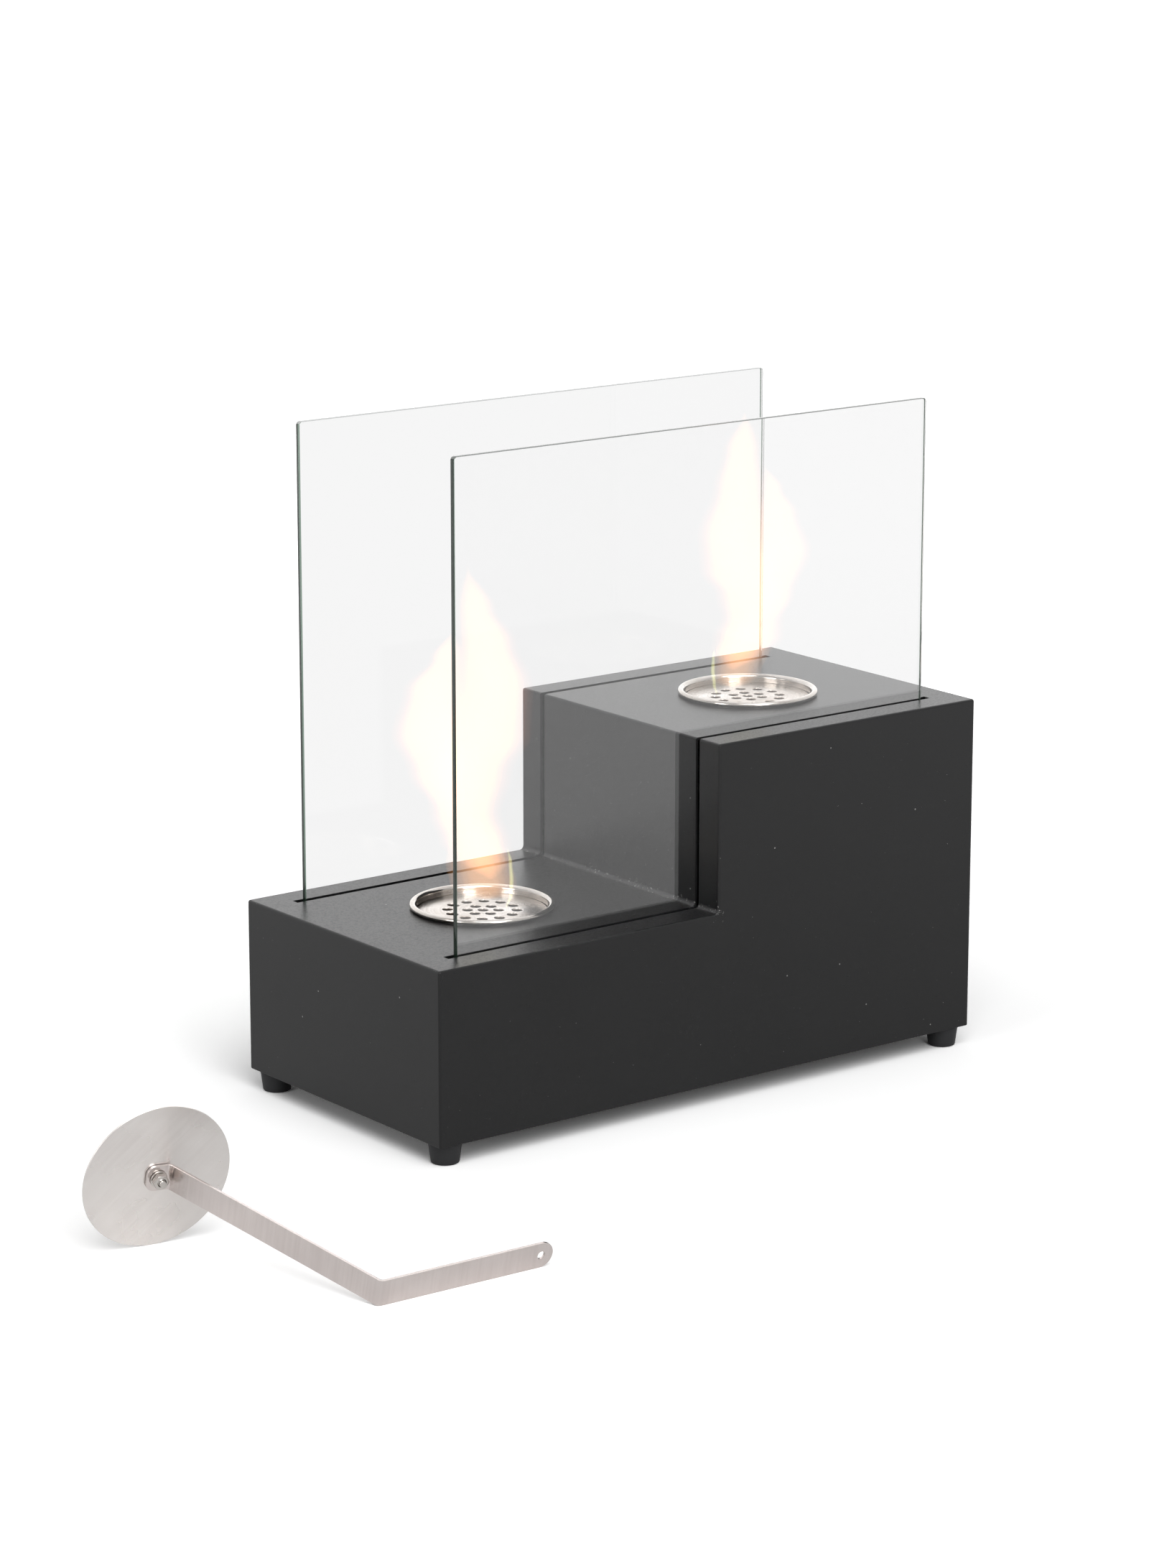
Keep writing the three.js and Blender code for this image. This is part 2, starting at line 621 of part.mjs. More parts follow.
/** The snuffer, lying on the floor in front of the casing's left end. */
function snuffer() {
  const { boltPlace, outward, tab } = strapPlaces();
  const stack = new THREE.Group();
  stack.add(...snufferStack());
  stack.position.set(boltPlace.x, boltPlace.y, STRAP_WIDTH / 2);
  stack.quaternion.setFromRotationMatrix(new THREE.Matrix4().makeBasis(
    new THREE.Vector3(tab.x, tab.y, 0),
    new THREE.Vector3(0, 0, -1),
    new THREE.Vector3(outward.x, outward.y, 0),
  ));
  const tilt = restingTilt();
  const tilted = new THREE.Group();
  tilted.add(snufferHandle(), stack);
  tilted.rotation.x = tilt;
  const placed = new THREE.Group();
  placed.add(tilted);
  placed.position.set(-SNUFFER_LEFT, -SNUFFER_FRONT, handleDrop(tilt));
  placed.rotation.z = THREE.MathUtils.degToRad(SNUFFER_YAW);
  return placed;
}

// ---------------------------------------------------------------- assembly

const pieces = new THREE.Group();
pieces.add(casingShell(), bottomPlate());
for (const [name, corner] of Object.entries(CORNERS)) {
  pieces.add(cornerBracket(name, corner), rubberFoot(name, corner), ...footFasteners(name, corner));
}
for (const [name, y] of Object.entries(PANE_PLACES)) {
  pieces.add(glassChannel(name, y), glassPad(name, y), pane(name, y));
}
for (const [name, place] of Object.entries(BURNER_PLACES)) {
  pieces.add(burnerCup(name, place), burnerLid(name, place), burnerWool(name, place));
}
pieces.add(snuffer());

const bounds = new THREE.Box3().setFromObject(pieces, true);
const middle = bounds.getCenter(new THREE.Vector3());
pieces.position.set(-middle.x, -middle.y, 0);

const fireplace = new THREE.Group();
fireplace.add(pieces);

export default fireplace;
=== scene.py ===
"""Looks of a stepped tabletop bioethanol fireplace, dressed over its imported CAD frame.

Places and sizes come from the frame's nodes. Each sub-assembly is a class that rebuilds what shows
with the edges and finishes of the real piece, and lets it ride on its CAD body.
"""

import logging
import math
from collections.abc import Iterable, Sequence
from dataclasses import dataclass, field
from enum import Enum
from typing import Any, ClassVar

import bmesh
import bpy
from mathutils import Matrix, Vector


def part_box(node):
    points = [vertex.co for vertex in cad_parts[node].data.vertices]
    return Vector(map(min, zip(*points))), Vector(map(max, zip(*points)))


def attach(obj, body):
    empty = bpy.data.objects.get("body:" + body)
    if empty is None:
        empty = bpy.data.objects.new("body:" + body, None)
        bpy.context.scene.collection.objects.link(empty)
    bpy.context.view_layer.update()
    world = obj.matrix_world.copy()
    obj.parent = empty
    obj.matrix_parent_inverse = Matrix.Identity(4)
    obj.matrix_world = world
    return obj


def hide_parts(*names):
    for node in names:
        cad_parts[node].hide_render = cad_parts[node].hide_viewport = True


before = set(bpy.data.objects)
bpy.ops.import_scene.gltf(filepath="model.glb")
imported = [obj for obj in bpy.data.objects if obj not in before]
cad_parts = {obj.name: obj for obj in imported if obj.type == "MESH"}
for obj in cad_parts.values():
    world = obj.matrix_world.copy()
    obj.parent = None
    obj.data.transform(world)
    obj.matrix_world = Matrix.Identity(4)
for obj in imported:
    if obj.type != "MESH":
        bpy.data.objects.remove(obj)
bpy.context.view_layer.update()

LOG = logging.getLogger("fireplace")
MM = 0.001
Corner = tuple[float, float, float]
Span = tuple[float, float]
Socket = bpy.types.NodeSocket


# ---------------------------------------------------------------- node and colour helpers

def linear(code: str) -> tuple[float, float, float, float]:
    """Turns an sRGB hex colour into linear RGBA.

    Args:
        code: The colour, such as "#c9c5c0".

    Returns:
        The red, green, blue and alpha that a shader takes.
    """
    channels = [int(code[i:i + 2], 16) / 255 for i in (1, 3, 5)]
    return (*(c / 12.92 if c <= 0.04045 else ((c + 0.055) / 1.055) ** 2.4 for c in channels), 1.0)


@dataclass
class Graph:
    """A node tree, with short calls for the nodes that the finishes share."""

    tree: bpy.types.NodeTree

    @classmethod
    def start(cls, owner: bpy.types.Material | bpy.types.World) -> "Graph":
        """Starts an empty node tree in a material or a world."""
        owner.use_nodes = True
        owner.node_tree.nodes.clear()
        return cls(owner.node_tree)

    def add(self, kind: str, inputs: dict[Any, Any] | None = None, **settings: Any) -> Any:
        """Adds a node with its settings and links.

        Args:
            kind: The node's type name, without its leading "ShaderNode".
            inputs: Values, hex colours or sockets by the input's name or number.
            **settings: The node's own settings.

        Returns:
            The node's outputs.
        """
        made = self.tree.nodes.new("ShaderNode" + kind)
        for name, value in settings.items():
            setattr(made, name, value)
        for key, value in (inputs or {}).items():
            if isinstance(value, Socket):
                self.tree.links.new(value, made.inputs[key])
            else:
                made.inputs[key].default_value = linear(value) if isinstance(value, str) else value
        return made.outputs

    def noise(self, place: Socket, size: float, **inputs: float) -> Socket:
        """Adds noise whose patches have a size in metres."""
        return self.add("TexNoise", {"Vector": place, "Scale": 1 / size, **inputs})["Fac"]

    def ramp(self, value: Socket, low: Any, high: Any, start: float = 0, end: float = 1) -> Socket:
        """Maps a value from start and end to low and high, and holds it between them."""
        return self.add("MapRange", {
            "Value": value, "From Min": start, "From Max": end, "To Min": low, "To Max": high,
        })["Result"]

    def blend(self, share: Socket, first: Any, second: Any) -> Socket:
        """Mixes two colours, the second one by its share."""
        return self.add("Mix", {0: share, 6: first, 7: second}, data_type="RGBA")[2]

    def maths(self, operation: str, *values: Any) -> Socket:
        """Adds a sum on numbers."""
        return self.add("Math", dict(enumerate(values)), operation=operation)[0]

    def vector(self, operation: str, *values: Any, out: str = "Vector", **inputs: Any) -> Socket:
        """Adds a sum on vectors, with the output that is asked for."""
        return self.add(
            "VectorMath", {**dict(enumerate(values)), **inputs}, operation=operation,
        )[out]

    def bump(self, height: Socket, strength: float, distance: float, **inputs: Any) -> Socket:
        """Adds relief of a depth in metres."""
        return self.add(
            "Bump", {"Height": height, "Strength": strength, "Distance": distance, **inputs},
        )["Normal"]

    def principled(self, inputs: dict[str, Any]) -> Socket:
        """Adds the Principled surface shader."""
        return self.add("BsdfPrincipled", inputs)["BSDF"]


class Grain(Enum):
    """Which way a steel surface was brushed or turned."""

    STRAIGHT = "straight"
    ROUND = "round"


# ---------------------------------------------------------------- finishes

@dataclass(frozen=True)
class Finish:
    """A surface finish. Each kind says what it is made of and what that gives the eye."""

    name: str
    target: ClassVar[str] = "Surface"

    def material(self) -> bpy.types.Material:
        """Builds the material, with the pattern on Object coordinates."""
        made = bpy.data.materials.new(self.name)
        graph = Graph.start(made)
        place = graph.add("TexCoord")["Object"]
        graph.add("OutputMaterial", {self.target: self.shader(graph, place)})
        return made

    def shader(self, graph: Graph, place: Socket) -> Socket:
        """Builds the shader and returns its socket."""
        raise NotImplementedError


@dataclass(frozen=True)
class PowderCoat(Finish):
    """Black polyester powder coat, sprayed on folded sheet steel and baked.

    It is satin, so the tops mirror the pale room softly. Its surface has a fine grain, a layer of
    dust on its level faces, which pales them in patches both as dust and as a painted mottled
    reflection, single specks, more of them in the inner fold, and small chips where handling has
    worn the folds.
    """

    colour: str = "#0c0c0d"
    mottled: str = "#121213"
    chip: str = "#9a9793"
    dust_colour: str = "#777675"
    dust_and_sheen_colour: str = "#222222"
    film_roughness: float = 0.14
    dust_and_sheen_grain: float = 1.3 * MM
    dust_and_sheen_span: Span = (0.45, 0.75)
    level_above: float = 0.9
    roughness: float = 0.31
    spread: float = 0.04
    gloss: float = 0.36
    grain: float = 0.7 * MM
    grain_depth: float = 0.004 * MM
    grain_span: Span = (0.25, 0.75)
    cloud: float = 55 * MM
    chip_size: float = 5 * MM
    chip_span: Span = (0.69, 0.71)
    dust_spacing: float = 16 * MM
    speck: float = 0.028
    crumb: float = 1.2 * MM
    fold_line: Span = (0.0, 0.0)
    fold_dust: float = 9 * MM
    fold_span: Span = (0.62, 0.8)

    def dust(self, graph: Graph, place: Socket) -> Socket:
        """Gives 1 on specks of dust: single ones anywhere, and many along the inner fold."""
        cells = graph.add("TexVoronoi", {"Vector": place, "Scale": 1 / self.dust_spacing})
        single = graph.maths("LESS_THAN", cells["Distance"], self.speck)
        x, z = self.fold_line
        from_fold = graph.vector("SUBTRACT", place, Vector((x, 0, z)))
        across = graph.vector("MULTIPLY", from_fold, Vector((1, 0, 1)))
        away = graph.vector("LENGTH", across, out="Value")
        share = graph.ramp(away, *self.fold_span, end=self.fold_dust)
        many = graph.maths("GREATER_THAN", graph.noise(place, self.crumb, Detail=2.0), share)
        return graph.maths("MAXIMUM", single, many)

    def dust_and_sheen(self, graph: Graph, place: Socket) -> Socket:
        """Gives where level faces are mottled: dust lying there, and a painted mottled reflection.
        """
        facing = graph.add("NewGeometry")["Normal"]
        upward = graph.add("SeparateXYZ", {0: facing})[2]
        level = graph.maths("GREATER_THAN", upward, self.level_above)
        dust_and_sheen_noise = graph.noise(place, self.dust_and_sheen_grain, Detail=3.0, Roughness=0.7)
        return graph.ramp(dust_and_sheen_noise, 0.0, level, *self.dust_and_sheen_span)

    def shader(self, graph: Graph, place: Socket) -> Socket:
        """Builds the coat with its mottling, dust, chipped edges and grain."""
        dust_and_sheen = self.dust_and_sheen(graph, place)
        cloud = graph.noise(place, self.cloud, Detail=3.0)
        base = graph.blend(cloud, self.colour, self.mottled)
        # Level faces turn paler in patches: partly dust, partly a painted mottled reflection.
        with_dust_and_sheen = graph.blend(dust_and_sheen, base, self.dust_and_sheen_colour)
        dusty = graph.blend(self.dust(graph, place), with_dust_and_sheen, self.dust_colour)
        fold = graph.add("Attribute", attribute_name="fold")["Fac"]
        wear = graph.noise(place, self.chip_size, Detail=4.0, Roughness=0.65)
        chipped = graph.maths("MULTIPLY", fold, graph.ramp(wear, 0.0, 1.0, *self.chip_span))
        grain = graph.noise(place, self.grain, Detail=2.0)
        low, high = self.roughness - self.spread, self.roughness + self.spread
        sheen = graph.ramp(grain, low, high, *self.grain_span)
        return graph.principled({
            "Base Color": graph.blend(chipped, dusty, self.chip),
            "Roughness": graph.maths("MULTIPLY_ADD", dust_and_sheen, self.film_roughness, sheen),
            "Normal": graph.bump(grain, 0.1, self.grain_depth),
            "Specular IOR Level": self.gloss,
        })


@dataclass(frozen=True)
class ClearGlass(Finish):
    """Clear toughened float glass, fire polished on both faces.

    Light from the lamps passes it, so it darkens nothing behind it. Faint smears of wiping change
    its gloss a little.
    """

    index: float
    colour: str = "#fbfbfb"
    shadow: str = "#f4f5f4"
    smear: float = 60 * MM
    roughness: Span = (0.0, 0.012)

    def shader(self, graph: Graph, place: Socket) -> Socket:
        """Builds the glass, which lets lamps through."""
        glass = graph.principled({
            "Base Color": self.colour, "IOR": self.index, "Transmission Weight": 1.0,
            "Roughness": graph.ramp(graph.noise(place, self.smear, Detail=2.0), *self.roughness),
        })
        clear = graph.add("BsdfTransparent", {"Color": self.shadow})[0]
        is_shadow = graph.add("LightPath")["Is Shadow Ray"]
        return graph.add("MixShader", {0: is_shadow, 1: glass, 2: clear})[0]


@dataclass(frozen=True)
class GroundGlassEdge(Finish):
    """The ground edge of float glass, where its iron shows as a deep green.

    Its paler, less clear copy on the upper edges is painted light from above.
    """

    colour: str = "#4c6354"
    clear: float = 0.8
    grind: float = 1.2 * MM
    roughness: Span = (0.04, 0.12)

    def shader(self, graph: Graph, place: Socket) -> Socket:
        """Builds the green edge with the fine lines of its grinding belt."""
        return graph.principled({
            "Base Color": self.colour, "IOR": 1.52, "Transmission Weight": self.clear,
            "Roughness": graph.ramp(graph.noise(place, self.grind, Detail=2.0), *self.roughness),
        })


@dataclass(frozen=True)
class Steel(Finish):
    """Stainless steel, brushed along a line or turned about an axis.

    Brushing leaves fine parallel lines that spread its reflections across them, and handling
    leaves soft smudges. The lines are drawn coarser than the real ones, which are too fine to show.
    """

    colour: str
    smudge: str
    roughness: float
    spread: float
    line: float = 0.9 * MM
    depth: float = 0.01 * MM
    smudge_size: float = 18 * MM
    dent_size: float = 7 * MM
    dent_depth: float = 0.0
    grain: Grain = Grain.ROUND
    centre: Corner = (0.0, 0.0, 0.0)
    along: Corner = (0.0, 0.0, 1.0)
    straightness: float = 0.97
    colour_span: Span = (0.7, 1.3)
    smudge_span: Span = (0.3, 0.7)

    def brushed_place(self, graph: Graph, place: Socket) -> Socket:
        """Turns the pattern's place so that it changes only across the brushing."""
        if self.grain is Grain.STRAIGHT:
            along = Vector(self.along)
            reach = graph.vector("DOT_PRODUCT", place, along, out="Value")
            taken = graph.vector("SCALE", along * self.straightness, Scale=reach)
            return graph.vector("SUBTRACT", place, taken)
        centred = graph.vector("SUBTRACT", place, Vector(self.centre))
        parts = graph.add("SeparateXYZ", {0: centred})
        flat = graph.add("CombineXYZ", {0: parts[0], 1: parts[1]})[0]
        radius = graph.vector("LENGTH", flat, out="Value")
        return graph.add("CombineXYZ", {0: radius, 2: parts[2]})[0]

    def shader(self, graph: Graph, place: Socket) -> Socket:
        """Builds the steel with its brushing lines and smudges."""
        lines = graph.noise(self.brushed_place(graph, place), self.line, Detail=3.0)
        smudges = graph.noise(place, self.smudge_size, Detail=2.0)
        share = graph.ramp(graph.maths("ADD", lines, smudges), 0.0, 1.0, *self.colour_span)
        low, high = self.roughness - self.spread, self.roughness + self.spread
        dents = graph.noise(place, self.dent_size, Detail=1.0)
        dented = graph.bump(dents, 1.0, self.dent_depth)
        return graph.principled({
            "Base Color": graph.blend(share, self.colour, self.smudge), "Metallic": 1.0,
            "Roughness": graph.ramp(smudges, low, high, *self.smudge_span),
            "Normal": graph.bump(lines, 0.5, self.depth, Normal=dented),
        })


@dataclass(frozen=True)
class Zinc(Finish):
    """Bright zinc plate on steel fasteners and brackets, pale grey with a cloudy crystal."""

    colour: str = "#d6d2ce"
    cloud_colour: str = "#b6b1ac"
    cloud: float = 2.5 * MM
    roughness: Span = (0.14, 0.3)

    def shader(self, graph: Graph, place: Socket) -> Socket:
        """Builds the cloudy plate."""
        cloud = graph.noise(place, self.cloud, Detail=3.0)
        return graph.principled({
            "Base Color": graph.blend(cloud, self.colour, self.cloud_colour), "Metallic": 1.0,
            "Roughness": graph.ramp(cloud, *self.roughness),
        })


@dataclass(frozen=True)
class MouldedRubber(Finish):
    """Black rubber out of a spark-eroded mould: matt, with a fine even grain."""

    colour: str = "#19191a"
    bloom: str = "#242527"
    bloom_size: float = 8 * MM
    roughness: float = 0.6
    spread: float = 0.1
    grit: float = 0.5 * MM
    grit_depth: float = 0.05 * MM

    def shader(self, graph: Graph, place: Socket) -> Socket:
        """Builds the rubber with its mould grain and a pale bloom."""
        grit = graph.noise(place, self.grit, Detail=2.0)
        bloom = graph.noise(place, self.bloom_size, Detail=3.0)
        low, high = self.roughness - self.spread, self.roughness + self.spread
        return graph.principled({
            "Base Color": graph.blend(bloom, self.colour, self.bloom),
            "Roughness": graph.ramp(grit, low, high),
            "Normal": graph.bump(grit, 0.4, self.grit_depth),
            "Specular IOR Level": 0.35,
        })


@dataclass(frozen=True)
class CeramicWool(Finish):
    """Ceramic fibre wool, matted, browned by use and scorched in patches where the fuel burns."""

    colour: str = "#7d6c5c"
    scorched: str = "#2b211a"
    fibre: float = 0.6 * MM
    fibre_depth: float = 0.4 * MM
    patch: float = 9 * MM
    scorch_span: Span = (0.4, 0.65)
    roughness: float = 0.95

    def shader(self, graph: Graph, place: Socket) -> Socket:
        """Builds the matted fibres."""
        fibres = graph.noise(place, self.fibre, Detail=4.0, Distortion=1.5)
        patches = graph.noise(place, self.patch, Detail=2.0)
        scorch = graph.ramp(patches, 0.0, 1.0, *self.scorch_span)
        return graph.principled({
            "Base Color": graph.blend(scorch, self.colour, self.scorched),
            "Roughness": self.roughness, "Normal": graph.bump(fibres, 0.8, self.fibre_depth),
        })


@dataclass(frozen=True)
class BurningGas(Finish):
    """An ethanol flame's glowing gas: it adds light by its depth and holds some colours back.

    It shows straight and through glass, and is too faint to light or mirror in its surroundings.
    """

    colour: str = "#ffb276"
    glow: float = 8.5
    haze: float = 1.2
    haze_colour: str = "#ffff00"
    target: ClassVar[str] = "Volume"

    def shader(self, graph: Graph, place: Socket) -> Socket:
        """Builds the gas, which glows evenly and so needs no place."""
        path = graph.add("LightPath")
        bounces = graph.maths("ADD", path["Diffuse Depth"], path["Glossy Depth"])
        glow = graph.maths("MULTIPLY", graph.maths("LESS_THAN", bounces, 0.5), self.glow)
        light = graph.add("Emission", {"Color": self.colour, "Strength": glow})[0]
        haze = graph.add("VolumeAbsorption", {"Color": self.haze_colour, "Density": self.haze})[0]
        return graph.add("AddShader", {0: light, 1: haze})[0]


@dataclass(frozen=True)
class StudioWhite(Finish):
    """The studio's paper floor: pale grey to light and metal, white to the camera.

    The camera sees it brighter than it is, and brighter still away from the object, so that the
    background is white while the object's shadow stays.
    """

    colour: str = "#e0e0e0"
    seen_as: float = 1.16
    through_glass: float = 0.955
    far_lift: float = 0.5
    near: float = 0.35
    far: float = 1.6

    def shader(self, graph: Graph, place: Socket) -> Socket:
        """Builds the matt paper, which is plain white where glass shows it."""
        path = graph.add("LightPath")
        seen = path["Is Camera Ray"]
        shown = graph.maths("MAXIMUM", seen, path["Is Glossy Ray"])
        colour = graph.blend(seen, self.colour, (*[self.seen_as] * 3, 1.0))
        paper = graph.add("BsdfDiffuse", {"Color": colour})[0]
        away = graph.vector("LENGTH", place, out="Value")
        lift = graph.ramp(away, 0.0, self.far_lift, start=self.near, end=self.far)
        light = graph.add("Emission", {"Strength": graph.maths("MULTIPLY", shown, lift)})[0]
        floor = graph.add("AddShader", {0: paper, 1: light})[0]
        plain = graph.add("Emission", {"Strength": self.through_glass})[0]
        return graph.add("MixShader", {0: path["Is Transmission Ray"], 1: floor, 2: plain})[0]


# ---------------------------------------------------------------- mesh helpers

def turned(corners: Sequence[Corner], steps: int, segments: int = 4) -> bmesh.types.BMesh:
    """Spins a closed section about the Z axis and rounds its corners.

    Args:
        corners: Each corner's radius, height and rounding, in millimetres.
        steps: How many steps go round.
        segments: How many strips each rounding has.

    Returns:
        The closed shape, about the Z axis.
    """
    shape = bmesh.new()
    points = [shape.verts.new((radius * MM, 0, height * MM)) for radius, height, _ in corners]
    edges = [
        shape.edges.new(pair) for pair in zip(points, points[1:] + points[:1])
        if pair[0].co.x > 0 or pair[1].co.x > 0
    ]
    bmesh.ops.spin(
        shape, geom=points + edges, axis=(0, 0, 1), cent=(0, 0, 0), angle=math.tau, steps=steps,
        use_merge=True,
    )
    bmesh.ops.remove_doubles(shape, verts=shape.verts, dist=0.001 * MM)
    bmesh.ops.recalc_face_normals(shape, faces=shape.faces)
    for radius, height, rounding in corners:
        if rounding:
            on_ring = [
                edge for edge in shape.edges
                if all(is_on_ring(vert.co, radius * MM, height * MM) for vert in edge.verts)
            ]
            round_edges(shape, on_ring, rounding * MM, segments)
    return shape


def is_on_ring(place: Vector, radius: float, height: float) -> bool:
    """Says if a place lies on a level ring about the Z axis."""
    near = 0.002 * MM
    return abs(place.z - height) < near and abs(math.hypot(place.x, place.y) - radius) < near


def round_edges(
    shape: bmesh.types.BMesh, edges: Iterable[bmesh.types.BMEdge], radius: float, segments: int
) -> None:
    """Rounds edges.

    Args:
        shape: The mesh that has the edges.
        edges: The edges to round.
        radius: The rounding, in metres.
        segments: How many strips it has.
    """
    bmesh.ops.bevel(
        shape, geom=list(edges), offset=radius, offset_type="OFFSET", segments=segments,
        profile=0.5, affect="EDGES", clamp_overlap=False, material=-1, loop_slide=True,
    )


def moved(shape: bmesh.types.BMesh, place: Matrix) -> bmesh.types.BMesh:
    """Moves a shape by a matrix and returns it."""
    bmesh.ops.transform(shape, matrix=place, verts=shape.verts)
    return shape


def block(low: Vector, high: Vector) -> bmesh.types.BMesh:
    """Makes a box between two corners, in metres."""
    shape = bmesh.new()
    size = Matrix.Diagonal((*(high - low), 1))
    bmesh.ops.create_cube(shape, size=1, matrix=Matrix.Translation((low + high) / 2) @ size)
    return shape


def drum(centre: Vector, radius: float, depth: float, steps: int) -> bmesh.types.BMesh:
    """Makes an upright cylinder about a centre, in metres."""
    shape = bmesh.new()
    bmesh.ops.create_cone(
        shape, cap_ends=True, segments=steps, radius1=radius, radius2=radius, depth=depth,
        matrix=Matrix.Translation(centre),
    )
    return shape


def add_object(name: str, data: Any, finishes: Iterable[Finish] = ()) -> bpy.types.Object:
    """Puts an object in the scene.

    Args:
        name: Its name.
        data: A lamp, a camera, or a working mesh, which is freed.
        finishes: The finishes of the mesh's material numbers.

    Returns:
        The object.
    """
    if isinstance(data, bmesh.types.BMesh):
        shape, data = data, bpy.data.meshes.new(name)
        shape.to_mesh(data)
        shape.free()
    for finish in finishes:
        data.materials.append(finish.material())
    made = bpy.data.objects.new(name, data)
    bpy.context.scene.collection.objects.link(made)
    return made


def carve(body: bmesh.types.BMesh, tools: Iterable[bmesh.types.BMesh]) -> bmesh.types.BMesh:
    """Cuts solids out of a solid.

    Args:
        body: The solid that is cut.
        tools: The solids that are taken out of it.

    Returns:
        What is left.
    """
    held = add_object("working", body)
    cutters = [add_object("working", tool) for tool in tools]
    for cutter in cutters:
        cut = held.modifiers.new("cut", "BOOLEAN")
        cut.object = cutter
        cut.operation = "DIFFERENCE"
        cut.solver = "EXACT"
    left = bmesh.new()
    left.from_object(held, bpy.context.evaluated_depsgraph_get())
    for made in (held, *cutters):
        mesh = made.data
        bpy.data.objects.remove(made)
        bpy.data.meshes.remove(mesh)
    bmesh.ops.remove_doubles(left, verts=left.verts, dist=0.002 * MM)
    return left


def sharp_edges(shape: bmesh.types.BMesh, degrees: float = 60) -> list[bmesh.types.BMEdge]:
    """Lists the edges whose faces meet at more than an angle."""
    limit = math.radians(degrees)
    return [edge for edge in shape.edges if edge.calc_face_angle(0.0) > limit]


@dataclass
class Piece:
    """One finished piece: its name, its body, its slot and the CAD nodes that it stands for."""

    name: str
    body: str
    slot: str
    nodes: tuple[str, ...]
    crease: float = 32
    weighted: bool = False

    def make(
        self, shape: bmesh.types.BMesh, finishes: Sequence[Finish],
    ) -> bpy.types.Object:
        """Turns a working mesh into the piece.

        Args:
            shape: The finished mesh, in its place.
            finishes: The finishes of the mesh's material numbers.

        Returns:
            The piece, riding on its body.
        """
        for face in shape.faces:
            face.smooth = True
        for edge in shape.edges:
            edge.smooth = edge.calc_face_angle(0.0) < math.radians(self.crease)
        made = add_object(self.name, shape, finishes)
        if self.weighted:
            made.modifiers.new("flat_faces", "WEIGHTED_NORMAL").keep_sharp = True
        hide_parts(*self.nodes)
        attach(made, self.body)
        LOG.info("%s: %d faces on %s", self.name, len(made.data.polygons), self.body)
        return made


def dress(node: str, finish: Finish) -> None:
    """Gives a CAD node that stays a better material.

    Args:
        node: The node's name.
        finish: Its finish.
    """
    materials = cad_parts[node].data.materials
    materials.clear()
    materials.append(finish.material())
    LOG.info("%s: dressed", node)


# ---------------------------------------------------------------- casing

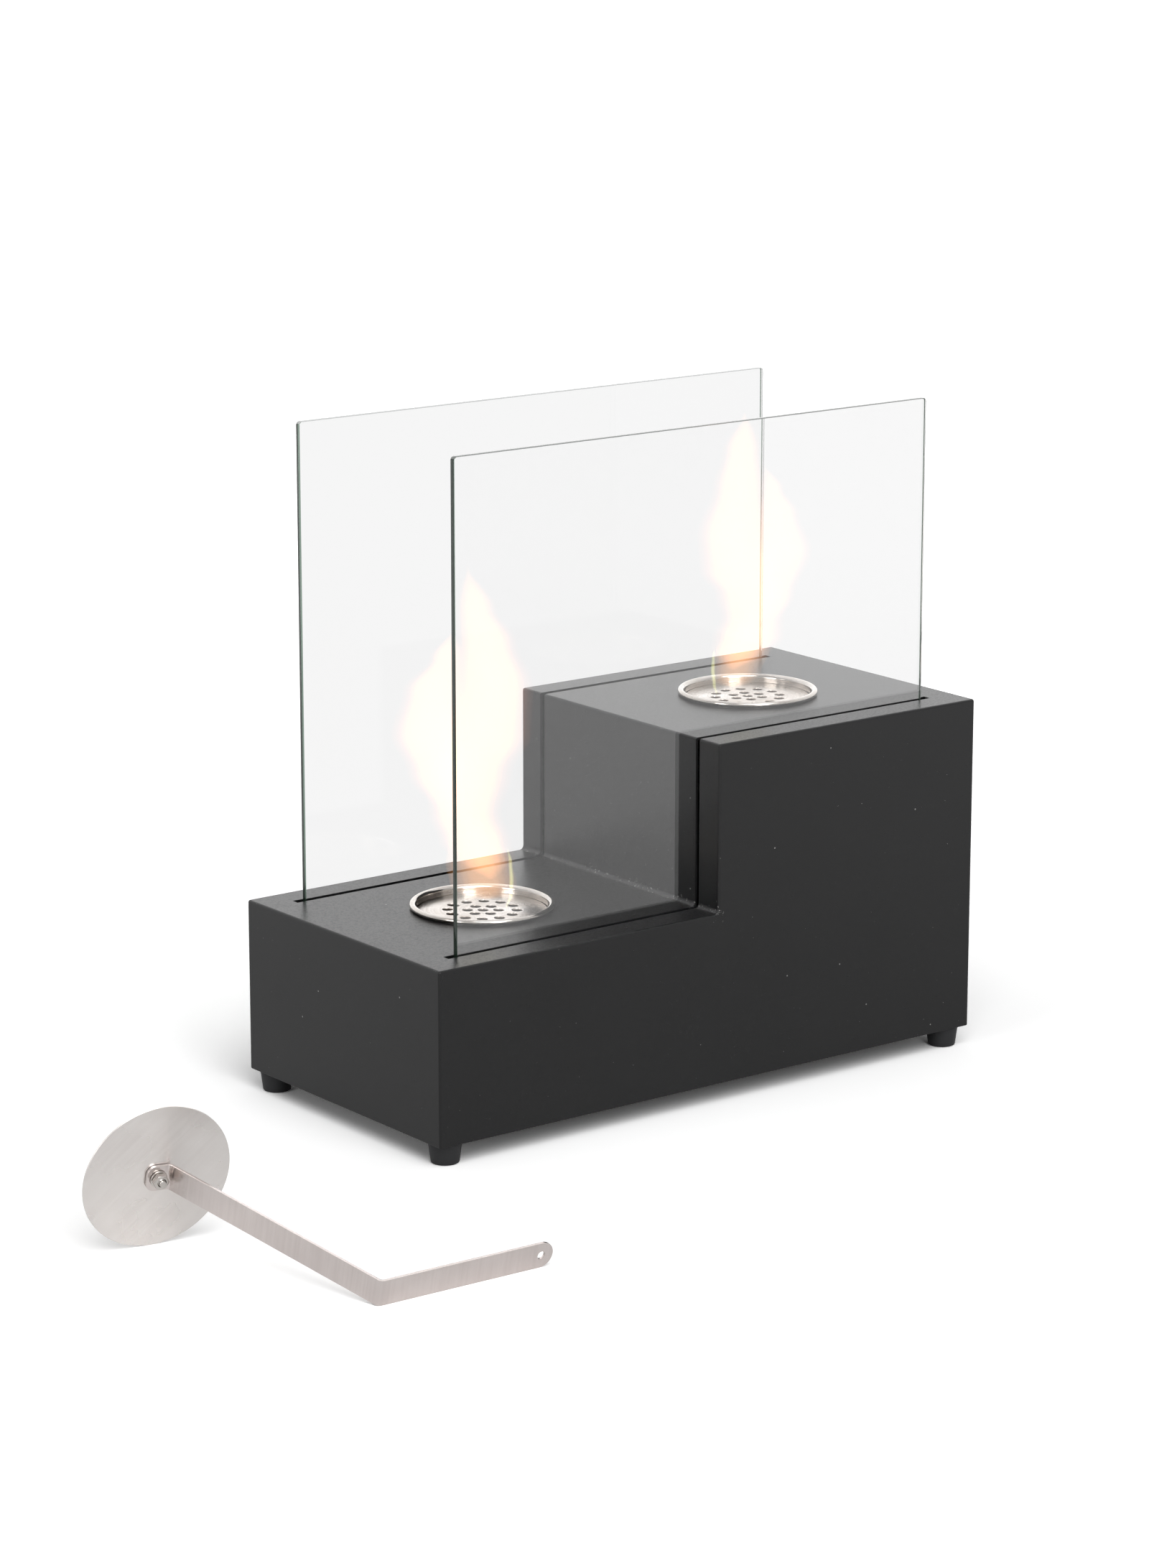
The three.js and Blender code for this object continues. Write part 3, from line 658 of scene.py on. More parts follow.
@dataclass
class Casing:
    """The stepped casing, its bottom plate, and the channels and pads that hold the panes."""

    sheet: float = 1.5 * MM
    step_length: float = 176 * MM
    low_height: float = 91 * MM
    fold_radius: float = 1.3 * MM
    inner_radius: float = 2.5 * MM
    hem_radius: float = 0.5 * MM
    cut_radius: float = 0.15 * MM
    slot_side: float = 0.75 * MM
    slot_end: float = 5.5 * MM
    hole_radius: float = 34.95 * MM
    hole_reach: float = 20 * MM
    skin: float = 0.45 * MM
    coat: Finish = field(init=False)
    shaded_coat: Finish = field(init=False)

    def __post_init__(self) -> None:
        """Places the coat's dust along the inner fold, and paints shade inside with a darker, matt
        coat.
        """
        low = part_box("casing_shell")[0]
        fold_line = (low.x + self.step_length, low.z + self.low_height)
        self.coat = PowderCoat("black_powder_coat", fold_line=fold_line)
        # The inside's coat is darker and more matt: painted shade in the slots and the hollow
        # casing.
        self.shaded_coat = PowderCoat(
            "painted_shade_powder_coat", colour="#060606", mottled="#0a0a0a", dust_and_sheen_colour="#0a0a0a",
            roughness=0.8, gloss=0.1, fold_line=fold_line,
        )

    def stepped_block(
        self, low: Vector, high: Vector, step: float, shelf: float
    ) -> bmesh.types.BMesh:
        """Makes the stepped solid between two corners.

        Args:
            low: The lowest corner.
            high: The highest corner.
            step: Where along X the high step starts.
            shelf: The height of the low step's top.

        Returns:
            The solid.
        """
        shape = block(low, Vector((high.x, high.y, shelf)))
        bmesh.ops.bisect_plane(
            shape, geom=shape.verts[:] + shape.edges[:] + shape.faces[:],
            plane_co=(step, 0, 0), plane_no=(1, 0, 0),
        )
        lid = [
            face for face in shape.faces
            if face.normal.z > 0.9 and face.calc_center_median().x > step
        ]
        raised = bmesh.ops.extrude_face_region(shape, geom=lid)["geom"]
        bmesh.ops.delete(shape, geom=lid, context="FACES")
        verts = [item for item in raised if isinstance(item, bmesh.types.BMVert)]
        bmesh.ops.translate(shape, verts=verts, vec=(0, 0, high.z - shelf))
        flat = [edge for edge in shape.edges if edge.calc_face_angle(0.0) < 0.01]
        bmesh.ops.dissolve_edges(shape, edges=flat, use_verts=True)
        bmesh.ops.recalc_face_normals(shape, faces=shape.faces)
        return shape

    def shell(self) -> bmesh.types.BMesh:
        """Makes the folded shell with its slots and burner holes."""
        low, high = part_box("casing_shell")
        step = low.x + self.step_length
        shelf = low.z + self.low_height
        outside = self.stepped_block(low, high, step, shelf)
        inner = [edge for edge in sharp_edges(outside) if not edge.is_convex]
        round_edges(outside, inner, self.inner_radius, 6)
        folds = [edge for edge in sharp_edges(outside) if not is_level(edge, low.z)]
        round_edges(outside, folds, self.fold_radius, 4)
        hem = [edge for edge in sharp_edges(outside) if is_level(edge, low.z)]
        round_edges(outside, hem, self.hem_radius, 2)
        wall = Vector((self.sheet, self.sheet, 0))
        below = Vector((0, 0, self.sheet))
        inside = self.stepped_block(
            low + wall - below, high - wall - below, step + self.sheet, shelf - self.sheet,
        )
        slots = self.slots(shelf, high.z)
        tools = [inside, *(block(*slot) for slot in slots)]
        for cup in ("low_burner_cup", "high_burner_cup"):
            start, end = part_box(cup)
            middle = (start + end) / 2
            middle.z = end.z
            tools.append(drum(middle, self.hole_radius, self.hole_reach, 96))
        shape = carve(outside, tools)
        faces = ((2, shelf), (2, high.z), (0, step))
        cuts = [edge for edge in sharp_edges(shape) if is_slot_edge(edge, slots, faces)]
        round_edges(shape, cuts, self.cut_radius, 2)
        fold = shape.faces.layers.float.new("fold")
        for face in shape.faces:
            face[fold] = float(max(abs(part) for part in face.normal) < 0.995)
            middle = face.calc_center_median()
            top = high.z if middle.x > step + self.skin else shelf
            ends = zip((*middle.xy, middle.z), (*low.xy, 0), (*high.xy, top))
            within = (start + self.skin < at < end - self.skin for at, start, end in ends)
            # Faces inside the outer skin take the darker, matt coat: painted shade.
            face.material_index = int(all(within))
        return shape

    def slots(self, shelf: float, top: float) -> list[tuple[Vector, Vector]]:
        """Gives the two corners of what each pane's slot takes out of the shell."""
        room = Vector((self.slot_end, self.slot_side, 0))
        return [
            (
                Vector((low.x, low.y, shelf - 2 * self.sheet)) - room,
                Vector((high.x, high.y, top + self.sheet)) + room,
            )
            for low, high in (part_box("front_glass"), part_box("back_glass"))
        ]

    def build(self) -> None:
        """Builds the shell and dresses what the casing holds."""
        Piece("casing", "casing", "powder_coat", ("casing_shell",), weighted=True).make(
            self.shell(), [self.coat, self.shaded_coat],
        )
        dress("bottom_plate", self.coat)
        for side in ("front", "back"):
            # The glass channels take the darker, matt coat too: painted shade.
            dress(f"glass_channel_{side}", self.shaded_coat)
            dress(f"glass_pad_{side}", MouldedRubber("heatproof_strip", colour="#262628"))


def is_slot_edge(
    edge: bmesh.types.BMEdge, slots: Iterable[tuple[Vector, Vector]],
    faces: Iterable[tuple[int, float]],
) -> bool:
    """Says if an edge is where a slot opens on the casing's outside.

    Args:
        edge: The edge.
        slots: The two corners of each slot.
        faces: The axis number and the place along it of each face with slots.

    Returns:
        True for such an edge.
    """
    near = 0.01 * MM
    ends = [vert.co for vert in edge.verts]
    on_face = any(all(abs(end[axis] - place) < near for end in ends) for axis, place in faces)
    return on_face and any(
        all(low[axis] - near < end[axis] < high[axis] + near for end in ends for axis in (0, 1))
        for low, high in slots
    )


def is_level(edge: bmesh.types.BMEdge, height: float) -> bool:
    """Says if an edge lies level at a height."""
    return all(abs(vert.co.z - height) < 0.01 * MM for vert in edge.verts)


# ---------------------------------------------------------------- feet

@dataclass
class Foot:
    """A tapered rubber foot, with its screw, washer, nut and bracket."""

    corner: str
    top_radius: float = 8.6
    bottom_radius: float = 7.2
    pocket_radius: float = 4.6
    pocket_depth: float = 4.6
    hole_radius: float = 2.35

    def build(self) -> None:
        """Builds the foot and dresses its fasteners."""
        low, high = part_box(f"rubber_foot_{self.corner}")
        height = high.z / MM
        shape = turned([
            (self.hole_radius, self.pocket_depth, 0),
            (self.pocket_radius, self.pocket_depth, 0.2),
            (self.pocket_radius, 0, 0.3),
            (self.bottom_radius, 0, 0.9),
            (self.top_radius, height, 0.5),
            (self.hole_radius, height, 0),
        ], 72)
        middle = (low + high) / 2
        node = f"rubber_foot_{self.corner}"
        Piece(f"foot_{self.corner}", "casing", "foot_rubber", (node,)).make(
            moved(shape, Matrix.Translation((middle.x, middle.y, 0))),
            [MouldedRubber("foot_rubber")],
        )
        for part in ("foot_screw", "foot_washer", "foot_nut", "corner_bracket"):
            dress(f"{part}_{self.corner}", Zinc("fastener_zinc"))


# ---------------------------------------------------------------- glass

@dataclass
class Pane:
    """A toughened glass pane with rounded corners and ground edges.

    The front pane mirrors the studio more strongly than the back one, as the photograph shows, and
    its upper edge looks darker. So each pane's refractive index is tuned to the photograph: real
    float glass has 1.52 in both. Each pane's upper edges are painted paler in a colour of their
    own, as painted light from above.
    """

    side: str
    index: float
    lit_edge_colour: str
    corner_radius: float = 2.0 * MM
    arris: float = 0.4 * MM

    def build(self) -> None:
        """Builds the pane."""
        low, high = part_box(f"{self.side}_glass")
        shape = block(low, high)
        across = [
            edge for edge in shape.edges
            if abs(edge.verts[0].co.y - edge.verts[1].co.y) > 1 * MM
        ]
        round_edges(shape, across, self.corner_radius, 8)
        round_edges(shape, sharp_edges(shape), self.arris, 2)
        for face in shape.faces:
            if abs(face.normal.y) < 0.999:
                # Edges that face up take a paler, less clear finish: painted light from above.
                face.material_index = 2 if face.normal.z > 0.3 else 1
        body = f"{self.side}_pane"
        made = Piece(body, body, "clear_glass", (f"{self.side}_glass",), crease=25).make(shape, [
            ClearGlass("clear_float_glass", index=self.index),
            GroundGlassEdge("ground_glass_edge"),
            GroundGlassEdge("painted_light_glass_edge", colour=self.lit_edge_colour, clear=0.25),
        ])
        for polygon in made.data.polygons:
            if polygon.material_index == 0:
                polygon.use_smooth = False


# ---------------------------------------------------------------- burners

@dataclass
class Burner:
    """A burner cup with a rolled rim, its perforated lid and the wool under it."""

    step: str
    turn: float
    rim_radius: float = 37.25
    bead: float = 1.4
    bore: float = 33.65
    ledge_bore: float = 30.45
    lid_radius: float = 33.25
    lid_thickness: float = 1.0
    hole_radius: float = 2.7
    rings: tuple[tuple[int, float], ...] = ((1, 0.0), (6, 8.0), (12, 17.5))
    flange: float = 0.35
    wall: float = 0.8
    recess: float = 4.35
    seat: float = 0.3

    def cup(self, height: float) -> bmesh.types.BMesh:
        """Makes the cup about the Z axis, from its crest at z = 0 down.

        Args:
            height: The cup's whole height, in millimetres.

        Returns:
            The cup.
        """
        wall = self.wall
        ledge = -self.recess - self.lid_thickness - self.seat
        lip = 2 * self.bead
        well = self.ledge_bore + wall
        return turned([
            (0, -height, 0),
            (well, -height, 2.0),
            (well, ledge - wall, 0.3),
            (self.bore + wall, ledge - wall, 0.6),
            (self.bore + wall, -lip, 0),
            (self.rim_radius, -lip, 1.39),
            (self.rim_radius, 0, 1.39),
            (self.bore, 0, 2.0),
            (self.bore, ledge, 0.3),
            (self.ledge_bore, ledge, 0.4),
            (self.ledge_bore, wall - height, 1.2),
            (0, wall - height, 0),
        ], 128, 6)

    def lid(self) -> bmesh.types.BMesh:
        """Punches the lid about the Z axis, its top at z = 0 and its edges rolled down."""
        shape = bmesh.new()
        rims = [(Vector((0, 0, 0)), self.lid_radius, -1, 128)]
        for count, radius in self.rings:
            for i in range(count):
                angle = math.tau * i / count + math.radians(self.turn)
                place = Vector((math.cos(angle), math.sin(angle), 0)) * radius * MM
                rims.append((place, self.hole_radius, 1, 36))
        turns = [math.radians(degrees) for degrees in (0, 30, 60, 90)]
        roll = [
            (self.flange * (1 - math.sin(turn)), self.flange * (math.cos(turn) - 1))
            for turn in turns
        ]
        for place, radius, side, steps in rims:
            points = [
                shape.verts.new(place + Vector((radius + side * away, 0, height)) * MM)
                for away, height in (*roll, (0, -self.lid_thickness))
            ]
            edges = [shape.edges.new(pair) for pair in zip(points, points[1:])]
            bmesh.ops.spin(
                shape, geom=points + edges, axis=(0, 0, 1), cent=place, angle=math.tau,
                steps=steps, use_merge=True,
            )
        for height in (0, -self.lid_thickness * MM):
            rings = [edge for edge in shape.edges if edge.is_boundary and is_level(edge, height)]
            bmesh.ops.triangle_fill(shape, edges=rings, use_beauty=True)
        bmesh.ops.recalc_face_normals(shape, faces=shape.faces)
        return shape

    def build(self) -> None:
        """Builds the cup and the lid, and dresses the wool."""
        low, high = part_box(f"{self.step}_burner_cup")
        middle = (low + high) / 2
        centre = (middle.x, middle.y, high.z)
        body = f"{self.step}_burner"
        cup = moved(self.cup((high.z - low.z) / MM), Matrix.Translation(centre))
        Piece(f"{self.step}_cup", body, "polished_steel", (f"{self.step}_burner_cup",)).make(cup, [
            Steel(
                "polished_cup_steel", colour="#cfcac5", smudge="#b5aea7", roughness=0.14,
                spread=0.04, centre=centre, dent_depth=0.1 * MM,
            ),
        ])
        node = f"{self.step}_burner_lid"
        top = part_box(node)[1].z
        lid = moved(self.lid(), Matrix.Translation((middle.x, middle.y, top)))
        Piece(f"{self.step}_lid", body, "brushed_steel", (node,), weighted=True).make(lid, [
            Steel(
                "brushed_lid_steel", colour="#dcd6d1", smudge="#b8ada3", roughness=0.26,
                spread=0.05, centre=centre, dent_depth=0.06 * MM,
            ),
        ])
        dress(f"{self.step}_burner_wool", CeramicWool("ceramic_wool"))


# ---------------------------------------------------------------- snuffer

@dataclass
class Snuffer:
    """The loose snuffer: a disc bolted to a strap that is bent twice, standing on its edge."""

    width: float = 13.2
    thickness: float = 1.5
    bend_radius: float = 2.25
    shaft: float = 131.5
    handle: float = 95.5
    handle_bend: float = 106.2
    tab_bend: float = 67.1
    tab: float = 6.0
    tab_corner: float = 4.5
    hang_hole: float = 2.0
    disc_radius: float = 37.25
    disc_thickness: float = 1.0
    seat: float = 0.3
    washer_radius: float = 4.3
    washer_thickness: float = 0.8
    nut_flats: float = 7.0
    nut_height: float = 3.0
    screw_radius: float = 2.0
    pitch: float = 0.7
    screw_end: float = 1.2
    head_radius: float = 3.9
    head_height: float = 2.3
    strap_edge: float = 0.22
    place: Span = (-204.558, -151.005)
    tilt: float = 13.394392
    drop: float = 0.17374
    yaw: float = -1.8
    tab_way: Vector = field(init=False)
    corner: Vector = field(init=False)

    def __post_init__(self) -> None:
        """Works out which way the tab points and where the shaft ends, in the strap's own frame."""
        self.tab_way = self.heading(self.handle_bend + self.tab_bend)
        self.corner = self.heading(self.handle_bend) * self.shaft

    def heading(self, degrees: float) -> Vector:
        """Gives a unit vector in the plane in which the strap is bent."""
        return Vector((math.cos(math.radians(degrees)), math.sin(math.radians(degrees)), 0))

    def standing(self) -> Matrix:
        """Gives the matrix that stands the strap's own frame on the floor."""
        foot = Vector((*self.place, self.drop)) * MM
        yaw = Matrix.Rotation(math.radians(self.yaw), 4, "Z")
        tilt = Matrix.Rotation(math.radians(self.tilt), 4, "X")
        return Matrix.Translation(foot) @ yaw @ tilt

    def bolt_place(self) -> Vector:
        """Gives the bolt's place in the strap's own frame, in metres."""
        return (self.corner + self.tab_way * self.tab + Vector((0, 0, self.width / 2))) * MM

    def stacking(self) -> Matrix:
        """Gives the matrix that stacks pieces on the tab, from its middle plane outwards."""
        outward = Vector((-self.tab_way.y, self.tab_way.x, 0))
        axes = Matrix((self.tab_way, Vector((0, 0, -1)), outward)).transposed().to_4x4()
        return self.standing() @ Matrix.Translation(self.bolt_place()) @ axes

    def strap(self) -> bmesh.types.BMesh:
        """Bends the strap from one strip and rounds its ends and edges."""
        end = self.corner + self.tab_way * 2 * self.tab
        line = [Vector((self.handle, 0, 0)), Vector((0, 0, 0)), self.corner, end]
        shape = bmesh.new()
        verts = [shape.verts.new(point * MM) for point in line]
        edges = [shape.edges.new(pair) for pair in zip(verts, verts[1:])]
        extruded = bmesh.ops.extrude_edge_only(shape, edges=edges)["geom"]
        raised = [item for item in extruded if isinstance(item, bmesh.types.BMVert)]
        bmesh.ops.translate(shape, verts=raised, vec=(0, 0, self.width * MM))
        bends = [
            edge for edge in shape.edges
            if abs(edge.verts[0].co.z - edge.verts[1].co.z) > 1 * MM and len(edge.link_faces) == 2
        ]
        for edge in bends:
            turn = edge.calc_face_angle(0.0)
            round_edges(shape, [edge], self.bend_radius * MM * math.tan(turn / 2), 10)
        centred = self.thickness * MM / 2
        bmesh.ops.recalc_face_normals(shape, faces=shape.faces)
        shape.normal_update()
        for vert in shape.verts:
            vert.co -= vert.normal * centred * vert.calc_shell_factor()
        bmesh.ops.solidify(shape, geom=shape.faces, thickness=-self.thickness * MM)
        bmesh.ops.recalc_face_normals(shape, faces=shape.faces)
        return shape

    def rounded_strap(self) -> bmesh.types.BMesh:
        """Rounds the strap's ends, drills its holes and breaks its edges."""
        shape = self.strap()
        handle_end = Vector((self.handle, 0, 0)) * MM
        rounded = ((handle_end, self.width / 2 - 0.02), (self.strap_end(), self.tab_corner))
        for end, radius in rounded:
            corners = [
                edge for edge in shape.edges
                if abs(edge.calc_length() - self.thickness * MM) < 0.05 * MM
                and all((vert.co - end).xy.length < self.thickness * MM for vert in edge.verts)
            ]
            round_edges(shape, corners, radius * MM, 10)
        hang = handle_end + Vector((-self.width / 2, 0, self.width / 2)) * MM
        drill = drum(Vector((0, 0, 0)), self.hang_hole * MM, 10 * MM, 32)
        bmesh.ops.rotate(drill, verts=drill.verts, matrix=Matrix.Rotation(math.pi / 2, 3, "X"))
        bmesh.ops.translate(drill, verts=drill.verts, vec=hang)
        shape = carve(shape, [drill])
        round_edges(shape, sharp_edges(shape, 50), self.strap_edge * MM, 2)
        return shape

    def strap_end(self) -> Vector:
        """Gives the tab's end in the strap's own frame, in metres."""
        return (self.corner + self.tab_way * 2 * self.tab) * MM

    def disc(self) -> bmesh.types.BMesh:
        """Punches the disc, with broken edges."""
        near = -self.thickness / 2 - self.seat
        far = near - self.disc_thickness
        return turned([
            (0, far, 0),
            (self.disc_radius, far, 0.25),
            (self.disc_radius, near, 0.25),
            (0, near, 0),
        ], 160, 3)

    def washer(self, floor: float) -> bmesh.types.BMesh:
        """Makes the flat washer on a floor, with broken edges."""
        top = floor + self.washer_thickness
        bore = self.screw_radius + 0.3
        return turned([
            (bore, floor, 0), (self.washer_radius, floor, 0.15), (self.washer_radius, top, 0.15),
            (bore, top, 0.1),
        ], 48, 2)

    def nut(self, floor: float) -> bmesh.types.BMesh:
        """Makes the hexagon nut on a floor, with chamfered corners and a threaded hole."""
        corner = self.nut_flats / 2 / math.cos(math.pi / 6)
        top = floor + self.nut_height
        middle = Vector((0, 0, (floor + top) / 2)) * MM
        body = drum(middle, corner * MM, self.nut_height * MM, 6)
        bmesh.ops.rotate(body, verts=body.verts, matrix=Matrix.Rotation(math.pi / 6, 3, "Z"))
        flats = self.nut_flats / 2 - 0.1
        rim = corner + 1
        tools = [turned([
            (flats, face, 0), (rim, face + away * 0.577 * -(rim - flats), 0), (rim, face + away, 0),
            (flats, face + away, 0),
        ], 48) for face, away in ((floor, -1), (top, 1))]
        tools.append(drum(middle, (self.screw_radius + 0.25) * MM, 3 * self.nut_height * MM, 32))
        return carve(body, tools)

    def screw(self, low: float, high: float) -> bmesh.types.BMesh:
        """Makes the pan-head screw with its thread, along the stack.

        Args:
            low: The head's underside against the disc, in millimetres.
            high: The thread's end.

        Returns:
            The screw.
        """
        head, core = self.head_radius, self.screw_radius - 0.35
        crown = low - self.head_height
        threads = int((high - 0.6 - low) / self.pitch)
        thread = [
            (radius, low + (i + share) * self.pitch, 0)
            for i in range(threads) for radius, share in ((self.screw_radius, 0.25), (core, 0.75))
        ]
        return turned([
            (0, crown, 0),
            (head * 0.95, crown, 1.3),
            (head, low, 0.1),
            (core, low, 0),
            *thread,
            (core, high, 0.25),
            (0, high, 0),
        ], 40, 3)

    def build(self) -> None:
        """Builds the five pieces, standing on the floor."""
        bolted = self.thickness / 2 + self.seat
        nut_floor = bolted + self.washer_thickness + self.seat
        head = -self.thickness / 2 - 2 * self.seat - self.disc_thickness
        end = nut_floor + self.nut_height + self.screw_end
        upright = self.standing().to_3x3() @ Vector((0, 0, 1))
        level = self.standing().to_3x3() @ self.tab_way
        satin = Steel(
            "satin_disc_steel", colour="#e8e4e1", smudge="#e0dbd8", roughness=0.27, spread=0.015,
            line=1.8 * MM, depth=0.004 * MM, grain=Grain.STRAIGHT,
            along=tuple((upright - level).normalized()),
        )
        strap_steel = Steel(
            "satin_strap_steel", colour="#dad2cf", smudge="#cfc6c3", roughness=0.22, spread=0.02,
            line=1.4 * MM, depth=0.004 * MM, grain=Grain.STRAIGHT, along=tuple(upright),
        )
        Piece("snuffer_blade", "snuffer", "brushed_steel", ("snuffer_disc",)).make(
            moved(self.disc(), self.stacking()), [satin],
        )
        for name, part, shape in (
            ("snuffer_ring", "washer", self.washer(bolted)),
            ("snuffer_hexagon", "nut", self.nut(nut_floor)),
            ("snuffer_bolt", "screw", self.screw(head, end)),
        ):
            Piece(name, "snuffer", "zinc_plate", (f"snuffer_{part}",)).make(
                moved(shape, self.stacking()), [Zinc(f"{part}_zinc")],
            )
        Piece("snuffer_strap", "snuffer", "brushed_steel", ("snuffer_handle",), weighted=True).make(
            moved(self.rounded_strap(), self.standing()), [strap_steel],
        )


# ---------------------------------------------------------------- flames

@dataclass(frozen=True)
class Tongue:
    """One tongue of a flame: a row of levels, each a height, a sideways place and a half width.

    It is made of shells inside each other, so that it thins out towards its edge, where its gas
    is cooler.
    """

    levels: tuple[Corner, ...]
    gas: BurningGas
    depth: float = 0.8
    cool_gas: BurningGas | None = None
    cool_shells: tuple[float, ...] = (1.32, 1.16)
    shells: tuple[float, ...] = (1.02, 0.88, 0.7, 0.45)

    def layers(self) -> list[tuple[float, BurningGas]]:
        """Lists the shells from the outside in, each with its gas."""
        cool = [(share, self.cool_gas) for share in self.cool_shells if self.cool_gas]
        return cool + [(share, self.gas) for share in self.shells]

    def at(self, height: float) -> tuple[float, float]:
        """Gives the sideways place and the half width at a height, eased between levels."""
        for (z0, s0, w0), (z1, s1, w1) in zip(self.levels, self.levels[1:]):
            if height <= z1:
                share = min(max((height - z0) / (z1 - z0), 0.0), 1.0)
                eased = share * share * (3 - 2 * share)
                return s0 + (s1 - s0) * eased, w0 + (w1 - w0) * eased
        return self.levels[-1][1:]


@dataclass
class Flame:
    """The flame on a burner: loose gas that is no part of the object and rides with the burner.

    It has no solid in the CAD, so it is declared as stage, although stage is meant for the floor
    and a backdrop.
    """

    step: str
    tongues: tuple[Tongue, ...]
    sideways: Span = (0.7948, -0.6069)
    bluntness: float = 2.2

    def build(self) -> None:
        """Builds each tongue as a closed volume over the lid."""
        low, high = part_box(f"{self.step}_burner_lid")
        foot = Vector(((low.x + high.x) / 2, (low.y + high.y) / 2, high.z))
        along = Vector((*self.sideways, 0))
        across = Vector((-along.y, along.x, 0))
        shells = [(tongue, *layer) for tongue in self.tongues for layer in tongue.layers()]
        for number, (tongue, share, gas) in enumerate(shells):
            bottom, top = tongue.levels[0][0], tongue.levels[-1][0]
            shape = bmesh.new()
            bmesh.ops.create_uvsphere(shape, u_segments=40, v_segments=80, radius=1)
            for vert in shape.verts:
                height = bottom + (top - bottom) * (vert.co.z + 1) / 2
                place, width = tongue.at(height)
                ring = math.hypot(vert.co.x, vert.co.y)
                unit = vert.co.xy / ring if ring > 1e-6 else Vector((0, 0))
                end = min(ring * self.bluntness, 1.0)
                side = (place + unit.x * width * share * end) * MM
                back = unit.y * width * share * tongue.depth * end * MM
                vert.co = foot + along * side + across * back + Vector((0, 0, height * MM))
            made = add_object(f"{self.step}_flame_{number}", shape, [gas])
            made.visible_glossy = made.visible_diffuse = False
            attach(made, f"{self.step}_burner")
            LOG.info("%s: stage", made.name)


BODY_GAS = BurningGas("flame_body")
COOL_GAS = BurningGas("flame_rim", colour="#ffa88c", glow=2.6, haze=0.8, haze_colour="#ffb0b0")
ROOT_GAS = BurningGas("flame_root", colour="#ffb068", glow=7.5, haze=0.5)
EDGE_GAS = BurningGas("flame_edge", colour="#ecf096", glow=75.0, haze=0.0)
LOW_FLAME = (
    Tongue((
        (16, 4, 7), (26, 1, 12), (36, -3.5, 14), (51, -8.6, 14), (73, -7, 17), (92, 0, 19),
        (118, 5, 16), (141, 2, 12), (158, -3, 8), (180, -7, 1.5),
    ), BODY_GAS, cool_gas=COOL_GAS),
    Tongue((
        (45, -10, 7), (73, -18, 15), (92, -24, 16.5), (115, -22.5, 13), (132, -17, 7),
        (148, -14, 0.5),
    ), BODY_GAS, cool_gas=COOL_GAS),
    Tongue((
        (6, 2, 12), (14, 0.5, 17), (24, -1.5, 17), (36, -4, 13), (50, -7, 6),
    ), ROOT_GAS, shells=(1.0, 0.82, 0.64, 0.46)),
    Tongue((
        (0.5, 11.8, 0.6), (8, 14.3, 1.2), (16, 14.6, 1.3), (26, 14, 1.1), (33, 12.6, 0.4),
    ), EDGE_GAS),
)
HIGH_FLAME = (
    Tongue((
        (14, -8, 7), (22, -5, 12), (32, 0, 14.5), (42, 2, 13), (55, 2, 15), (67, -3, 17.5),
        (87, -7, 15.5), (112, -5, 11), (132, -4, 8), (152, -2, 2),
    ), BODY_GAS, cool_gas=COOL_GAS),
    Tongue((
        (40, 8, 7), (55, 13, 9), (79, 17, 12.5), (98, 15, 9), (112, 12, 5), (125, 8, 0.5),
    ), BODY_GAS, cool_gas=COOL_GAS),
    Tongue((
        (5, -8, 9), (14, -6, 13.5), (24, -3, 14.5), (34, 0, 12), (46, 2, 5),
    ), ROOT_GAS, shells=(1.0, 0.82, 0.64, 0.46)),
    Tongue((
        (0.5, -16.4, 0.5), (6, -17.8, 1.1), (14, -18.6, 1.3), (20, -18.4, 1), (25, -18, 0.4),
    ), EDGE_GAS),
)


# ---------------------------------------------------------------- studio

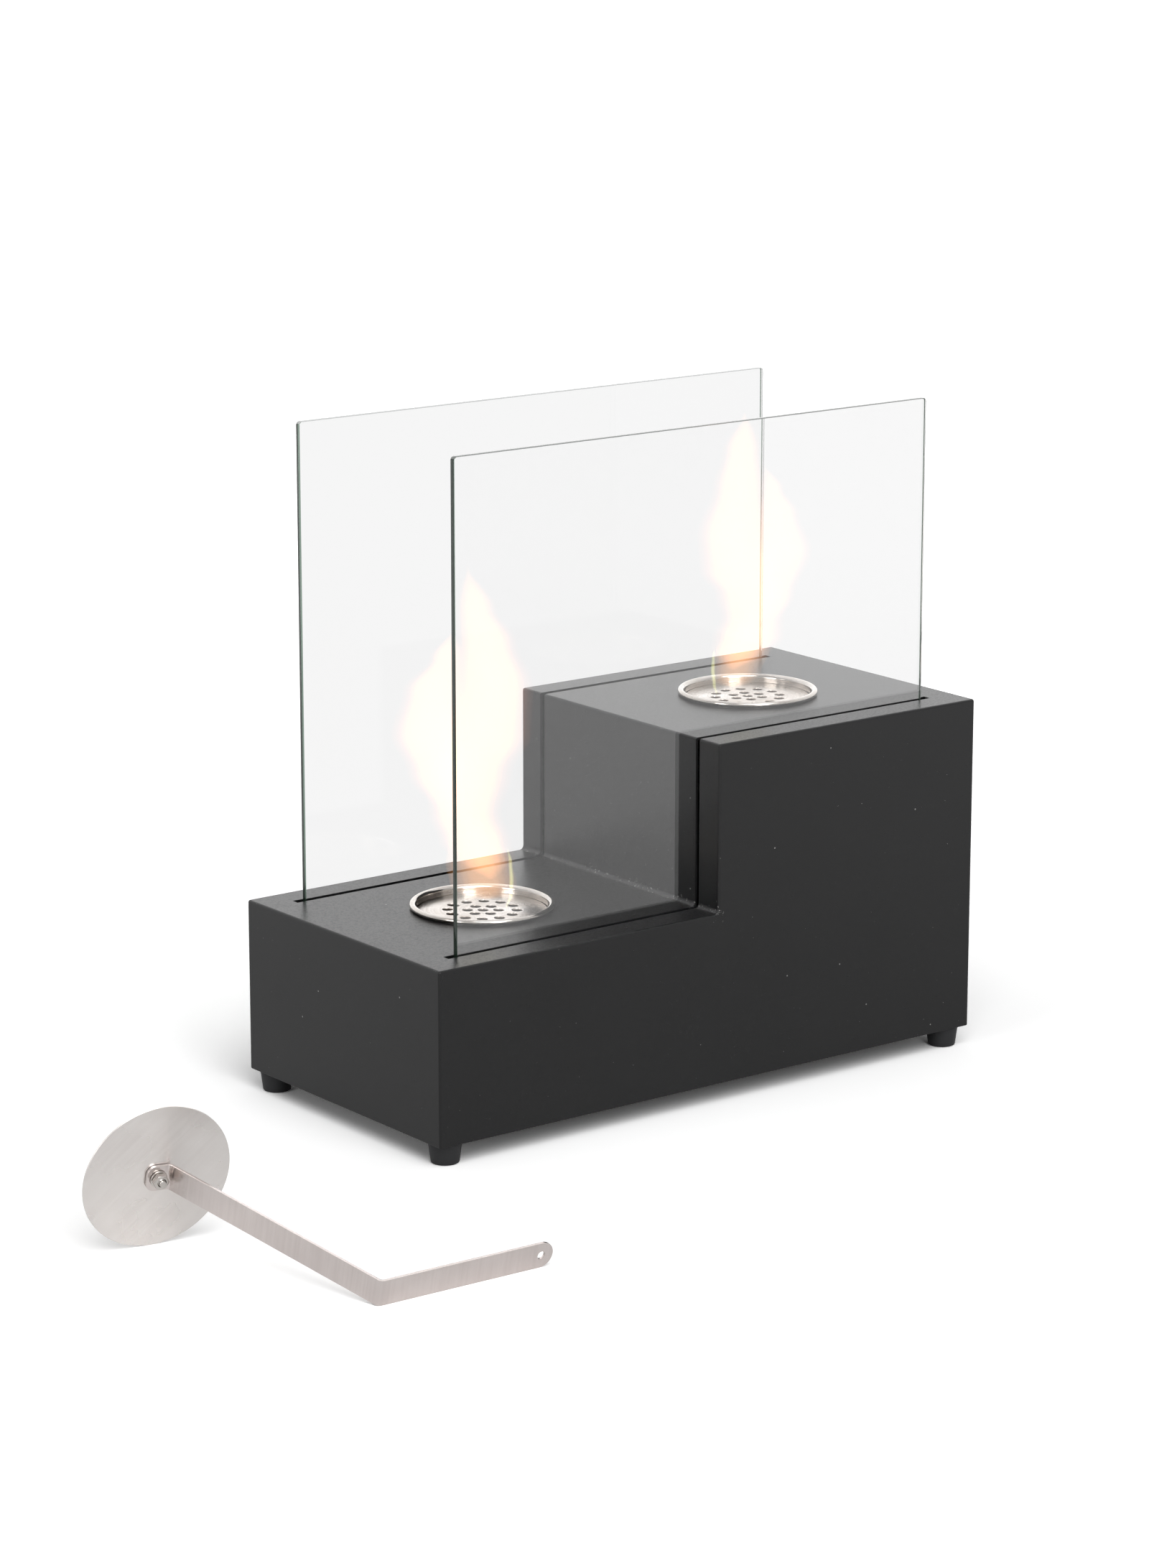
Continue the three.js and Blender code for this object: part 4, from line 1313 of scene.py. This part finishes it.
@dataclass
class Studio:
    """The pale floor, the soft lamps and the camera at the photograph's place.

    Two soft windows behind the camera light the front and shine in polished steel.
    """

    camera_place: Corner = (-1.31686, -1.75400, 0.71970)
    forward: Corner = (0.58963, 0.77201, -0.23735)
    lens: float = 104.62
    room: float = 0.5
    front: float = 0.85
    back: float = 2.0
    backdrop: Corner = (0.6, 0.79, 0.1)
    backdrop_span: Span = (-0.2, 0.9)
    floor_size: float = 15
    sun: float = 1.9
    sun_spread: float = 50
    sun_from: Corner = (-0.3, -0.95, 1.3)
    window_size: float = 0.85
    window_power: float = 10.0
    windows: tuple[tuple[str, Corner], ...] = (
        ("window_right", (-0.42, -2.15, 0.66)), ("window_left", (-2.15, -0.22, 0.66)),
    )

    def build(self) -> None:
        """Builds the floor, the room's light, the lamps and the camera."""
        shape = bmesh.new()
        bmesh.ops.create_grid(shape, x_segments=1, y_segments=1, size=self.floor_size)
        add_object("studio_floor", shape, [StudioWhite("studio_white")])
        self.light_room()
        sun = bpy.data.lights.new("sky_light", "SUN")
        sun.energy, sun.angle = self.sun, math.radians(self.sun_spread)
        self.hang(sun, self.sun_from)
        for name, place in self.windows:
            lamp = bpy.data.lights.new(name, "AREA")
            lamp.size, lamp.energy = self.window_size, self.window_power
            self.hang(lamp, place)
        self.place_camera()
        bpy.context.scene.view_settings.view_transform = "Standard"

    def hang(self, lamp: bpy.types.Light, place: Corner) -> None:
        """Hangs a lamp at a place, turned to the object and unseen by the camera."""
        made = add_object(lamp.name, lamp)
        made.location = place
        toward = Vector((0, 0, 0.1)) - Vector(place)
        made.rotation_euler = toward.to_track_quat("-Z", "Y").to_euler()
        made.visible_camera = False

    def light_room(self) -> None:
        """Fills the room with even light, and shows it white to the camera and in glass.

        Gloss meets a bright backdrop behind the object and a duller room in front of it.
        """
        world = bpy.data.worlds.new("studio_room")
        graph = Graph.start(world)
        direction = graph.add("TexCoord")["Generated"]
        facing = graph.vector("DOT_PRODUCT", direction, Vector(self.backdrop), out="Value")
        mirrored = graph.ramp(facing, self.front, self.back, *self.backdrop_span)
        path = graph.add("LightPath")
        room = graph.add("Mix", {0: path["Is Glossy Ray"], 2: self.room, 3: mirrored})[0]
        strength = graph.add("Mix", {0: path["Is Camera Ray"], 2: room, 3: 1.0})[0]
        light = graph.add("Background", {"Strength": strength})[0]
        graph.add("OutputWorld", {"Surface": light})
        bpy.context.scene.world = world

    def place_camera(self) -> None:
        """Places the camera as the photograph was taken."""
        camera = bpy.data.cameras.new("camera")
        camera.sensor_width = 36
        camera.lens = self.lens
        camera.clip_end = 60
        made = add_object("camera", camera)
        made.location = self.camera_place
        made.rotation_euler = Vector(self.forward).to_track_quat("-Z", "Y").to_euler()
        bpy.context.scene.camera = made


def main() -> None:
    """Builds the studio, the object's sub-assemblies and the flames."""
    logging.basicConfig(level=logging.INFO, format="%(message)s")
    Studio().build()
    Casing().build()
    for corner in ("front_left", "front_right", "back_left", "back_right"):
        Foot(corner).build()
    # The upper edge colours are painted light from above, paler on the back pane.
    Pane("front", index=1.62, lit_edge_colour="#7d807e").build()
    Pane("back", index=1.22, lit_edge_colour="#b4b6b5").build()
    Burner("low", turn=22.6).build()
    Burner("high", turn=3).build()
    Snuffer().build()
    Flame("low", LOW_FLAME).build()
    Flame("high", HIGH_FLAME).build()


if __name__ == "__main__":
    main()
